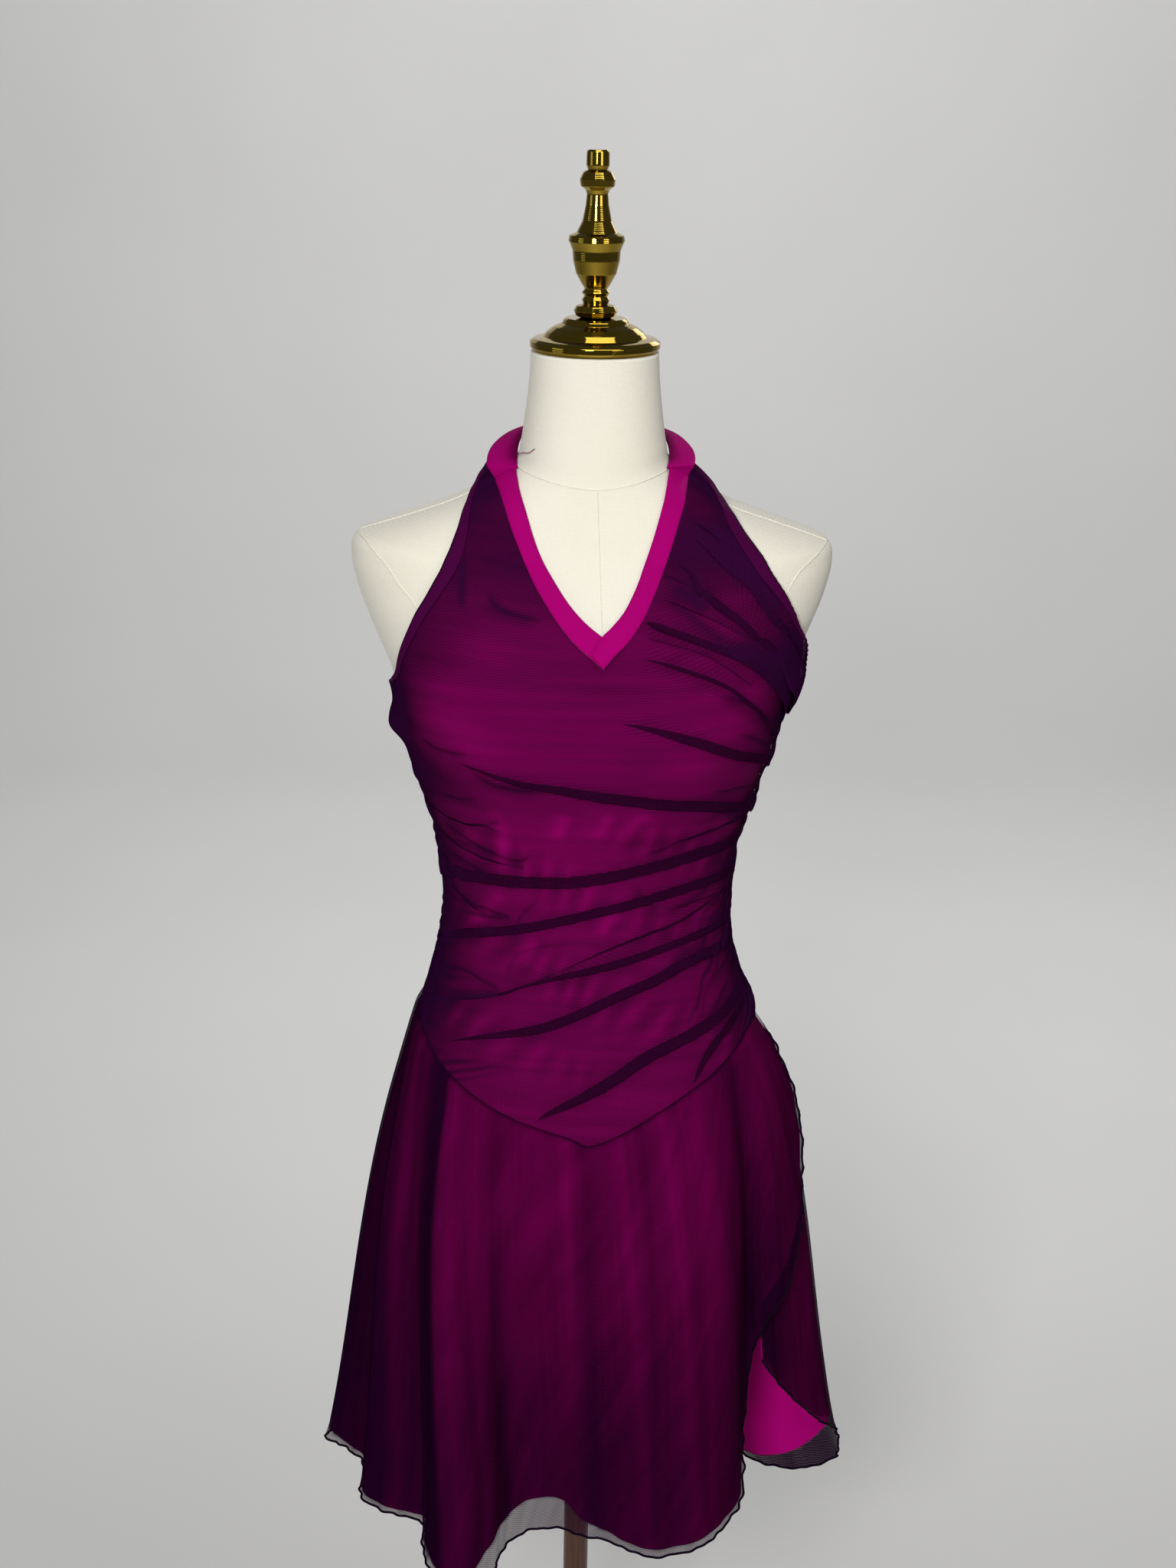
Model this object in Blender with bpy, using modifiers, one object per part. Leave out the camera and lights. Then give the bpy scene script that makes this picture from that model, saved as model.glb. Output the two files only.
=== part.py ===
"""Figure skating dress on a limbless dress form, at real size.

Metres, +Z up, front towards -Y. The origin is the centre of the stand's underside.
Cloth lies on the form's own surface, which every panel reads by girth and level:
girth -1 is the left side seam as seen from the front, 0 the front centre, 1 the
right side seam and 2 the back centre, and level is the height at the front centre.
"""

import math

import bpy
import numpy as np

# Cloth walls and the gaps between them
BODICE_WALL = 0.0015
SKIRT_WALL = 0.0011
BAND_WALL = 0.0013
FORM_TO_BODICE = 0.0015
FORM_TO_LINING = 0.0011
LAYER_GAP = 0.0006
SEAM_GAP = 0.0003
STITCHED_ON_GAP = 0.0010
SKIRT_TOP_DROP = 0.0006
LINING_INSET = 0.0015
SKIRT_OFF_FORM = 0.0034
GIRTH_LENGTH = 0.165  # metres of cloth to one unit of girth at the waist

# Stand
BASE_RADIUS = 0.165
BASE_HEIGHT = 0.026
POLE_RADIUS = 0.011
FORM_BOTTOM = 0.700
NECK_TOP = 1.4515

# Grid sizes
FORM_COLUMNS = 32
BODICE_COLUMNS = 12
BODICE_ROWS_BELOW_V = 40
BODICE_ROWS_BESIDE_V = 13
BACK_COLUMNS = 22
BACK_ROWS = 8
STRAP_ROWS = 20
SKIRT_COLUMNS_PER_BODICE_COLUMN = 2
SKIRT_ROWS = 7
TURNED_STEPS = 16
BASE_STEPS = 28

# The form's rings from the underside to the neck.
# front_level, side_level, back_level, half_width, front_depth, back_depth
FORM_SECTIONS = (
    (0.700, 0.700, 0.700, 0.1180, 0.0780, 0.0880),
    (0.712, 0.712, 0.712, 0.1420, 0.0900, 0.1060),
    (0.740, 0.740, 0.740, 0.1530, 0.0960, 0.1160),
    (0.790, 0.790, 0.790, 0.1580, 0.0990, 0.1210),
    (0.840, 0.840, 0.840, 0.1510, 0.1000, 0.1160),
    (0.880, 0.880, 0.880, 0.1425, 0.0990, 0.1070),
    (0.920, 0.920, 0.920, 0.1310, 0.0950, 0.0960),
    (0.960, 0.960, 0.960, 0.1200, 0.0890, 0.0860),
    (1.000, 1.000, 1.000, 0.1150, 0.0840, 0.0810),
    (1.030, 1.030, 1.030, 0.1157, 0.0860, 0.0820),
    (1.060, 1.060, 1.060, 0.1200, 0.0920, 0.0860),
    (1.100, 1.100, 1.100, 0.1315, 0.1060, 0.0930),
    (1.140, 1.140, 1.140, 0.1447, 0.1180, 0.0990),
    (1.170, 1.170, 1.170, 0.1520, 0.1220, 0.1020),
    (1.200, 1.203, 1.200, 0.1585, 0.1180, 0.1050),
    (1.225, 1.236, 1.230, 0.1725, 0.1080, 0.1060),
    (1.250, 1.268, 1.260, 0.1845, 0.0970, 0.1050),
    (1.270, 1.292, 1.288, 0.1895, 0.0880, 0.1020),
    (1.285, 1.306, 1.305, 0.1865, 0.0815, 0.0970),
    (1.297, 1.3125, 1.320, 0.1720, 0.0765, 0.0910),
    (1.310, 1.3225, 1.335, 0.1420, 0.0715, 0.0830),
    (1.325, 1.335, 1.350, 0.1080, 0.0665, 0.0740),
    (1.340, 1.349, 1.364, 0.0820, 0.0620, 0.0670),
    (1.352, 1.361, 1.374, 0.0660, 0.0585, 0.0610),
    (1.362, 1.370, 1.381, 0.0590, 0.0560, 0.0570),
    (1.375, 1.382, 1.388, 0.0565, 0.0540, 0.0540),
    (1.400, 1.403, 1.404, 0.0535, 0.0510, 0.0510),
    (1.430, 1.430, 1.430, 0.0505, 0.0490, 0.0490),
    (NECK_TOP, NECK_TOP, NECK_TOP, 0.0492, 0.0485, 0.0485),
)
RING_SQUARENESS = 2.3
BUST_GIRTH = 0.37
BUST_LEVEL = 1.168
BUST_RISE = 0.006
BUST_GIRTH_SPREAD = 0.22
BUST_LEVEL_SPREAD = 0.040

# The bodice's dropped waist seam. girth, level
WAIST_SEAM = (
    (-1.000, 0.914), (-0.750, 0.889), (-0.616, 0.872), (-0.490, 0.857), (-0.336, 0.844),
    (-0.162, 0.8345), (-0.060, 0.829), (0.025, 0.823), (0.118, 0.827), (0.258, 0.8395),
    (0.388, 0.8535), (0.496, 0.866), (0.612, 0.878), (0.686, 0.8865), (1.000, 0.906),
    (1.500, 0.905), (2.000, 0.905), (2.500, 0.909), (3.000, 0.914),
)
SIDE_WAIST_LEVEL = 0.910
WAIST_DIP_TOP = 1.100
WAIST_POINT_GIRTH = 0.022

# Front armhole edges, from the underarm to the strap. level, girth
ARMHOLE_LEFT = (
    (1.187, -1.000), (1.1985, -0.860), (1.2215, -0.735), (1.245, -0.685),
    (1.2705, -0.652), (1.306, -0.672), (1.3325, -0.862), (1.3445, -1.070),
)
ARMHOLE_RIGHT = (
    (1.187, 1.000), (1.200, 0.930), (1.215, 0.865), (1.239, 0.782), (1.260, 0.732),
    (1.2875, 0.710), (1.321, 0.812), (1.333, 0.950), (1.346, 1.110),
)
UNDERARM_LEVEL = 1.187
BACK_TOP_LEVEL = 1.120

# The V-neck's seam with the bands. level, girth
V_LEVEL = 1.2265
V_GIRTH = 0.058
NECK_SEAM_LEFT = (
    (V_LEVEL, V_GIRTH), (1.2505, -0.082), (1.280, -0.274), (1.3185, -0.492),
    (1.334, -0.650), (1.3445, -0.952),
)
NECK_SEAM_RIGHT = (
    (V_LEVEL, V_GIRTH), (1.242, 0.164), (1.2635, 0.266), (1.3025, 0.438),
    (1.3305, 0.604), (1.340, 0.750), (1.346, 1.000),
)

# Neck bands' free edges from the point of the V upwards; the right one laps over the left.
# level, girth
NECK_EDGE_LEFT = (
    (1.2500, 0.054), (1.2590, -0.020), (1.2710, -0.110), (1.2860, -0.205), (1.3050, -0.315),
    (1.3260, -0.430), (1.3430, -0.570), (1.3555, -0.730),
)
NECK_EDGE_RIGHT = (
    (1.2365, 0.004), (1.2500, 0.058), (1.2570, 0.110), (1.2725, 0.206), (1.2900, 0.290),
    (1.3080, 0.370), (1.3335, 0.490), (1.3480, 0.600), (1.3580, 0.720),
)

# Halter strap round the back of the neck, from the left band to the right one.
# inner_angle, inner_radius, inner_height, outer_angle, outer_radius, outer_height
NECK_STRAP = (
    (-156.0, 0.0668, 1.3648, -171.5, 0.0835, 1.3645),
    (-171.0, 0.0628, 1.3710, -183.0, 0.0815, 1.3710),
    (-188.0, 0.0606, 1.3780, -196.0, 0.0785, 1.3765),
    (-210.0, 0.0592, 1.3850, -214.0, 0.0755, 1.3815),
    (-240.0, 0.0580, 1.3910, -240.0, 0.0715, 1.3850),
    (-270.0, 0.0570, 1.3935, -270.0, 0.0695, 1.3860),
    (-300.0, 0.0580, 1.3910, -300.0, 0.0715, 1.3850),
    (-330.0, 0.0592, 1.3850, -326.0, 0.0750, 1.3815),
    (-352.0, 0.0606, 1.3780, -344.0, 0.0770, 1.3765),
    (-370.0, 0.0628, 1.3715, -357.5, 0.0790, 1.3715),
    (-384.5, 0.0660, 1.3668, -370.0, 0.0797, 1.3660),
)

# The largest folds of the ruched front, each a ridge through three places.
# start_girth, start_level, middle_girth, middle_level, end_girth, end_level, width, height
FRONT_FOLDS = (
    (1.00, 1.125, 0.56, 1.158, 0.16, 1.188, 0.0060, 0.0030),
    (0.97, 1.086, 0.20, 1.127, -0.52, 1.151, 0.0075, 0.0042),
    (1.00, 1.078, 0.17, 1.057, -0.90, 1.035, 0.0080, 0.0045),
    (1.00, 1.046, 0.00, 1.021, -0.98, 0.968, 0.0065, 0.0038),
    (1.00, 1.030, 0.29, 0.999, -0.46, 0.953, 0.0045, 0.0022),
    (1.00, 1.004, 0.19, 0.979, -0.86, 0.921, 0.0055, 0.0032),
    (1.00, 0.984, 0.19, 0.952, -0.78, 0.890, 0.0065, 0.0038),
    (0.35, 0.905, 0.11, 0.901, -0.46, 0.867, 0.0060, 0.0025),
    (1.00, 0.945, 0.44, 0.910, -0.26, 0.842, 0.0075, 0.0042),
    (0.82, 0.928, 0.62, 0.902, 0.48, 0.866, 0.0055, 0.0030),
    (0.36, 0.860, 0.10, 0.857, -0.15, 0.835, 0.0050, 0.0022),
    (1.00, 1.135, 0.56, 1.201, 0.27, 1.234, 0.0050, 0.0022),
    (1.00, 1.155, 0.57, 1.227, 0.25, 1.257, 0.0060, 0.0030),
    (0.95, 1.175, 0.65, 1.235, 0.46, 1.303, 0.0060, 0.0030),
    (0.78, 1.228, 0.66, 1.267, 0.56, 1.323, 0.0060, 0.0028),
    (-0.36, 1.092, -0.56, 1.095, -0.86, 1.088, 0.0050, 0.0022),
    (-0.30, 1.064, -0.50, 1.075, -0.76, 1.092, 0.0050, 0.0025),
    (-0.42, 1.010, -0.64, 1.028, -0.86, 1.045, 0.0050, 0.0022),
    (-0.78, 1.150, -0.92, 1.149, -1.06, 1.147, 0.0120, 0.0085),
    (0.82, 1.203, 0.94, 1.197, 1.06, 1.190, 0.0150, 0.0085),
)
FOLD_END_FADE = 0.14
GATHER_HEIGHT = 0.0022
GATHER_START_GIRTH = 0.72
GATHER_TOP_LEVEL = 1.165

# The strap ends stand off the hollow between neck and shoulder.
STRAP_LIFT = 0.0080
STRAP_LIFT_LEVELS = (1.322, 1.346)
STRAP_LIFT_GIRTHS = (0.74, 1.10)
# The cloth bridges the form's hollow below each armhole.
UNDERARM_BRIDGE = 0.0018
UNDERARM_BRIDGE_LEVEL = 1.196
UNDERARM_BRIDGE_SPREAD = 0.013
UNDERARM_BRIDGE_GIRTHS = (0.50, 0.72)
ARMHOLE_BAND_WIDTH = 0.0075

# Skirt hems by column, anticlockwise from above. The back panel starts at its near edge in
# the slit (girth -3 is the right side again) and ends at the left side seam.
# seam_girth, hem_x, hem_y, hem_height, lining_shorter_by
SKIRT_BACK = (
    (-3.00, 0.1560, -0.060, 0.602, 0.003),
    (-2.93, 0.1690, -0.059, 0.582, 0.003),
    (-2.87, 0.1850, -0.052, 0.558, 0.003),
    (-2.81, 0.2010, -0.041, 0.537, 0.004),
    (-2.75, 0.2150, -0.028, 0.518, 0.007),
    (-2.70, 0.2260, -0.012, 0.500, 0.018),
    (-2.65, 0.2320, 0.003, 0.473, 0.026),
    (-2.60, 0.2280, 0.013, 0.461, 0.026),
    (-2.54, 0.2110, 0.015, 0.457, 0.020),
    (-2.47, 0.1890, 0.018, 0.454, 0.018),
    (-2.40, 0.1680, 0.030, 0.452, 0.016),
    (-2.33, 0.1570, 0.056, 0.453, 0.014),
    (-2.26, 0.1600, 0.088, 0.455, 0.012),
    (-2.19, 0.1480, 0.115, 0.456, 0.012),
    (-2.12, 0.1220, 0.124, 0.456, 0.012),
    (-2.05, 0.1000, 0.141, 0.455, 0.012),
    (-1.98, 0.0840, 0.168, 0.454, 0.012),
    (-1.91, 0.0580, 0.175, 0.454, 0.012),
    (-1.84, 0.0320, 0.154, 0.455, 0.012),
    (-1.77, 0.0020, 0.150, 0.456, 0.012),
    (-1.70, -0.0240, 0.171, 0.454, 0.012),
    (-1.63, -0.0520, 0.176, 0.454, 0.012),
    (-1.56, -0.0740, 0.157, 0.455, 0.012),
    (-1.49, -0.0980, 0.138, 0.456, 0.012),
    (-1.42, -0.1250, 0.147, 0.455, 0.012),
    (-1.35, -0.1490, 0.133, 0.455, 0.012),
    (-1.28, -0.1560, 0.104, 0.457, 0.012),
    (-1.21, -0.1720, 0.082, 0.458, 0.012),
    (-1.15, -0.1970, 0.074, 0.459, 0.014),
    (-1.10, -0.2110, 0.052, 0.463, 0.018),
    (-1.05, -0.2150, 0.024, 0.470, 0.022),
)
# The front panel goes on from the left side seam to the slit at the right hip. Past its
# lowest corner the same curved edge climbs to the hip as the slit's front edge.
SKIRT_FRONT = (
    (-1.00, -0.2220, -0.002, 0.478, 0.024),
    (-0.96, -0.2060, -0.022, 0.484, 0.020),
    (-0.92, -0.1890, -0.042, 0.485, 0.012),
    (-0.88, -0.1850, -0.070, 0.481, 0.009),
    (-0.84, -0.1810, -0.094, 0.483, 0.008),
    (-0.80, -0.1650, -0.112, 0.482, 0.008),
    (-0.76, -0.1430, -0.122, 0.482, 0.008),
    (-0.72, -0.1280, -0.131, 0.481, 0.010),
    (-0.67, -0.1230, -0.165, 0.477, 0.010),
    (-0.62, -0.1090, -0.197, 0.473, 0.010),
    (-0.57, -0.0900, -0.203, 0.472, 0.012),
    (-0.51, -0.0745, -0.185, 0.475, 0.020),
    (-0.43, -0.0600, -0.155, 0.480, 0.022),
    (-0.33, -0.0400, -0.137, 0.482, 0.027),
    (-0.19, -0.0120, -0.134, 0.483, 0.027),
    (-0.05, 0.0130, -0.143, 0.482, 0.012),
    (0.09, 0.0370, -0.154, 0.480, 0.009),
    (0.23, 0.0620, -0.163, 0.479, 0.009),
    (0.36, 0.0870, -0.160, 0.479, 0.009),
    (0.46, 0.1090, -0.144, 0.480, 0.009),
    (0.53, 0.1270, -0.122, 0.485, 0.009),
    (0.58, 0.1380, -0.098, 0.497, 0.009),
    (0.63, 0.1400, -0.080, 0.525, 0.010),
    (0.67, 0.1430, -0.072, 0.570, 0.012),
    (0.71, 0.1490, -0.070, 0.615, 0.012),
    (0.75, 0.1600, -0.066, 0.648, 0.013),
    (0.79, 0.1730, -0.056, 0.668, 0.014),
    (0.83, 0.1820, -0.042, 0.695, 0.012),
    (0.87, 0.1865, -0.024, 0.735, 0.008),
    (0.91, 0.1860, -0.010, 0.785, 0.006),
    (0.95, 0.1770, -0.003, 0.830, 0.005),
    (0.98, 0.1640, -0.001, 0.864, 0.003),
    (1.00, 0.1520, 0.000, 0.884, 0.002),
)
HIP_EASE = 0.012
RIGHT_FLARE_EASE = 0.015
RIGHT_FLARE_GIRTH = -2.65
RIGHT_FLARE_SPREAD = 0.17
SLIT_EDGE_BEND = 1.6
SLIT_EDGE_COLUMNS = 6.0

# Turned pieces, radius and height from the top down
FINIAL_PROFILE = (
    (0.0000, 1.6013), (0.0070, 1.6013), (0.0078, 1.6000), (0.0078, 1.5890), (0.0068, 1.5868),
    (0.0105, 1.5850), (0.0138, 1.5795), (0.0128, 1.5745), (0.0092, 1.5718), (0.0081, 1.5690),
    (0.0088, 1.5610), (0.0112, 1.5490), (0.0155, 1.5405), (0.0208, 1.5385), (0.0216, 1.5345),
    (0.0198, 1.5305), (0.0184, 1.5270), (0.0180, 1.5200), (0.0155, 1.5100), (0.0110, 1.5020),
    (0.0087, 1.4985), (0.0108, 1.4958), (0.0090, 1.4930), (0.0108, 1.4902), (0.0096, 1.4874),
    (0.0148, 1.4858), (0.0168, 1.4820), (0.0152, 1.4782), (0.0120, 1.4769), (0.0000, 1.4769),
)
NECK_CAP_PROFILE = (
    (0.0000, 1.4766), (0.0225, 1.4766), (0.0245, 1.4752), (0.0258, 1.4725), (0.0320, 1.4700),
    (0.0372, 1.4662), (0.0400, 1.4625), (0.0470, 1.4612), (0.0503, 1.4590), (0.0503, 1.4548),
    (0.0490, 1.4535), (0.0488, 1.4520), (0.0000, 1.4520),
)
BASE_PROFILE = (
    (0.000, BASE_HEIGHT), (0.030, BASE_HEIGHT), (0.034, 0.022), (0.150, 0.020),
    (0.161, 0.016), (BASE_RADIUS, 0.010), (BASE_RADIUS, 0.003), (0.162, 0.000), (0.000, 0.000),
)

# name: colour, roughness, metallic
FINISHES = {
    "dress_mesh": ((0.105, 0.010, 0.120, 1.0), 0.60, 0.0),
    "dress_lining": ((0.400, 0.002, 0.200, 1.0), 0.45, 0.0),
    "form_linen": ((0.800, 0.770, 0.690, 1.0), 0.85, 0.0),
    "polished_brass": ((0.750, 0.560, 0.180, 1.0), 0.15, 1.0),
    "stained_wood": ((0.110, 0.035, 0.010, 1.0), 0.40, 0.0),
}


def read_table(table, key):
    """Every column of a table at the given keys, on a cubic through its rows."""
    rows = np.asarray(table, float)
    keys = rows[:, 0]
    slopes = np.gradient(rows, keys, axis=0)
    key = np.clip(np.asarray(key, float), keys[0], keys[-1])
    low = np.clip(np.searchsorted(keys, key, side="right") - 1, 0, len(keys) - 2)
    span = (keys[low + 1] - keys[low])[..., None]
    part = (key - keys[low])[..., None] / span
    start = (1 + 2 * part) * (1 - part) ** 2 * rows[low]
    start_slope = part * (1 - part) ** 2 * span * slopes[low]
    end = part**2 * (3 - 2 * part) * rows[low + 1]
    end_slope = part**2 * (part - 1) * span * slopes[low + 1]
    return start + start_slope + end + end_slope


def read_rows(table, place):
    """Every column of a table at places counted in rows from its first row."""
    rows = np.asarray(table, float)
    counted = np.column_stack([np.arange(len(rows)), rows])
    return read_table(counted, place)[..., 1:]


def ramp(value, low, high):
    """A smooth rise from 0 at low to 1 at high."""
    part = np.clip((value - low) / (high - low), 0.0, 1.0)
    return part * part * (3 - 2 * part)


def form_surface(girth, level):
    """The form: a rounded-square polar ring for each level, its sides, front and back at own heights."""
    angle = np.radians(-90 + 90 * girth)
    across, along = np.cos(angle), np.sin(angle)
    section = read_table(FORM_SECTIONS, level)
    front_level, side_level, back_level = section[..., 0], section[..., 1], section[..., 2]
    half_width, front_depth, back_depth = section[..., 3], section[..., 4], section[..., 5]
    in_front = along < 0
    depth = np.where(in_front, front_depth, back_depth)
    radius = (
        (np.abs(across) / half_width) ** RING_SQUARENESS + (np.abs(along) / depth) ** RING_SQUARENESS
    ) ** (-1 / RING_SQUARENESS)
    for side in (-1, 1):
        round_bust = np.exp(-(((girth - side * BUST_GIRTH) / BUST_GIRTH_SPREAD) ** 2))
        radius = radius + BUST_RISE * round_bust * np.exp(-(((level - BUST_LEVEL) / BUST_LEVEL_SPREAD) ** 2))
    end_level = np.where(in_front, front_level, back_level)
    height = end_level + (side_level - end_level) * across**2
    return np.stack([radius * across, radius * along, height], axis=-1)


def raised(surface, first, second, distance, flip=1.0):
    """A surface's points moved out along its normal, which is the cross product of its two slopes."""
    step = 1e-4
    point = surface(first, second)
    first_slope = surface(first + step, second) - surface(first - step, second)
    second_slope = surface(first, second + step) - surface(first, second - step)
    normal = np.cross(first_slope, second_slope)
    normal = flip * normal / np.linalg.norm(normal, axis=-1, keepdims=True)
    return point + normal * np.broadcast_to(distance, point.shape[:-1])[..., None]


def strap_lift(girth, level):
    """How far the strap ends stand off the form."""
    return (
        STRAP_LIFT
        * ramp(level, *STRAP_LIFT_LEVELS)
        * ramp(np.abs(girth), *STRAP_LIFT_GIRTHS)
    )


def underarm_bridge(girth, level):
    near_level = np.exp(-(((level - UNDERARM_BRIDGE_LEVEL) / UNDERARM_BRIDGE_SPREAD) ** 2))
    return UNDERARM_BRIDGE * near_level * ramp(np.abs(girth), *UNDERARM_BRIDGE_GIRTHS)


def fold_height(girth, level):
    """The ruched front's folds: soft ridges along parabolas through three places each."""
    total = np.zeros(np.broadcast(girth, level).shape)
    for fold in FRONT_FOLDS:
        girths, levels, width, height = fold[0:6:2], fold[1:6:2], fold[6], fold[7]
        curve = np.polyfit(girths, levels, 2)
        steepness = np.polyval(np.polyder(curve), girth) / GIRTH_LENGTH
        distance = (level - np.polyval(curve, girth)) / np.sqrt(1 + steepness**2)
        low, high = min(girths), max(girths)
        inside = ramp(girth, low - FOLD_END_FADE, low) * (1 - ramp(girth, high, high + FOLD_END_FADE))
        total = total + height * inside * np.exp(-((distance / width) ** 2))
    return total


def bodice_surface(girth, level, out=0.0):
    """The bodice's inner face, or a layer that much further out, with its folds and lifted strap ends."""
    distance = FORM_TO_BODICE + out + strap_lift(girth, level) + fold_height(girth, level)
    distance = distance + underarm_bridge(girth, level)
    return raised(form_surface, girth, level, distance)


def waist_knots():
    """Girths of the panels' columns at the waist seam, which all pieces that meet there share."""
    left = np.linspace(-1, WAIST_POINT_GIRTH, BODICE_COLUMNS + 1)
    right = np.linspace(WAIST_POINT_GIRTH, 1, BODICE_COLUMNS + 1)
    back = np.linspace(1, 3, BACK_COLUMNS + 1)
    return np.concatenate([left, right[1:], back[1:]])


def waist_level(girth):
    knots = waist_knots()
    girth = np.where(np.asarray(girth) < -1, np.asarray(girth) + 4, girth)
    return np.interp(girth, knots, read_table(WAIST_SEAM, knots)[..., 1])


def along_curve(table, share, start_level=None):
    """Girths and levels at shares of a curve's length, from its first point or from a level up."""
    fine = read_rows(table, np.linspace(0, len(table) - 1, 200))
    if start_level is not None:
        fine = fine[fine[:, 0] >= start_level]
        fine[0, 0] = start_level
    steps = np.hypot(np.diff(fine[:, 0]), np.diff(fine[:, 1]) * GIRTH_LENGTH)
    length = np.concatenate([[0.0], np.cumsum(steps)])
    place = np.asarray(share) * length[-1]
    return np.interp(place, length, fine[:, 1]), np.interp(place, length, fine[:, 0])


def own_material(piece_name, finish):
    colour, roughness, metallic = FINISHES[finish]
    material = bpy.data.materials.new(f"{piece_name}_{finish}")
    material.use_nodes = True
    shader = material.node_tree.nodes["Principled BSDF"]
    shader.inputs["Base Color"].default_value = colour
    shader.inputs["Roughness"].default_value = roughness
    shader.inputs["Metallic"].default_value = metallic
    return material


def link_piece(name, mesh, finish):
    mesh.materials.append(own_material(name, finish))
    piece = bpy.data.objects.new(name, mesh)
    bpy.data.collections["skating_dress"].objects.link(piece)
    return piece


def add_object(name, points, faces, finish):
    mesh = bpy.data.meshes.new(name)
    mesh.from_pydata(np.asarray(points).tolist(), [], np.asarray(faces).tolist())
    mesh.shade_smooth()
    return link_piece(name, mesh, finish)


def grid_faces(rows, columns, first=0):
    """Quads of a grid whose columns run anticlockwise round the body and whose rows climb."""
    index = first + np.arange(rows * columns).reshape(rows, columns)
    corners = (index[:-1, :-1], index[:-1, 1:], index[1:, 1:], index[1:, :-1])
    return np.stack(corners, axis=-1).reshape(-1, 4)


def thicken(piece, wall):
    """Solidify outwards, as cloth laid on the grid's face."""
    solidify = piece.modifiers.new("wall", "SOLIDIFY")
    solidify.thickness = wall
    solidify.offset = 1.0
    solidify.use_rim = True
    return piece


def add_cloth(name, grid, wall, finish):
    rows, columns = grid.shape[:2]
    piece = add_object(name, grid.reshape(-1, 3), grid_faces(rows, columns), finish)
    return thicken(piece, wall)


def add_turned(name, profile, finish, steps=TURNED_STEPS):
    """A turned piece: a profile of radius and height, screwed once round."""
    points = [(radius, 0.0, height) for radius, height in profile]
    edges = [(i, i + 1) for i in range(len(points) - 1)]
    mesh = bpy.data.meshes.new(name)
    mesh.from_pydata(points, edges, [])
    piece = link_piece(name, mesh, finish)
    screw = piece.modifiers.new("turn", "SCREW")
    screw.axis = "Z"
    screw.steps = steps
    screw.render_steps = steps
    screw.use_merge_vertices = True
    screw.merge_threshold = 1e-5
    return piece


def form_torso():
    """Loft through the form's rings, closed by a flat underside and a flat neck top."""
    keys = np.asarray(FORM_SECTIONS)[:, 0]
    middles = (keys[1:-1] + keys[2:]) / 2
    middles = middles[(middles > 0.94) & (middles < 1.05) | (middles > 1.15) & (middles < 1.28)]
    levels = np.sort(np.concatenate([keys, middles]))
    girths = -1 + 4 * np.arange(FORM_COLUMNS) / FORM_COLUMNS
    girth, level = np.meshgrid(girths, levels)
    ring = form_surface(girth, level)
    rows = len(levels)
    index = np.arange(rows * FORM_COLUMNS).reshape(rows, FORM_COLUMNS)
    after = np.roll(index, -1, axis=1)
    sides = np.stack([index[:-1], after[:-1], after[1:], index[1:]], axis=-1).reshape(-1, 4)
    faces = sides.tolist() + [index[0, ::-1].tolist(), index[-1].tolist()]
    mesh = bpy.data.meshes.new("form_torso")
    mesh.from_pydata(ring.reshape(-1, 3).tolist(), [], faces)
    link_piece("form_torso", mesh, "form_linen")


def stand():
    add_turned("finial", FINIAL_PROFILE, "polished_brass")
    add_turned("neck_cap", NECK_CAP_PROFILE, "polished_brass")
    add_turned("base", BASE_PROFILE, "stained_wood", BASE_STEPS)
    top = FORM_BOTTOM - SEAM_GAP
    bottom = BASE_HEIGHT + SEAM_GAP
    bpy.ops.mesh.primitive_cylinder_add(
        vertices=TURNED_STEPS, radius=POLE_RADIUS, depth=top - bottom, location=(0, 0, (top + bottom) / 2)
    )
    pole = bpy.context.object
    pole.name = "pole"
    pole.data.materials.append(own_material("pole", "stained_wood"))
    bpy.context.collection.objects.unlink(pole)
    bpy.data.collections["skating_dress"].objects.link(pole)


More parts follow.
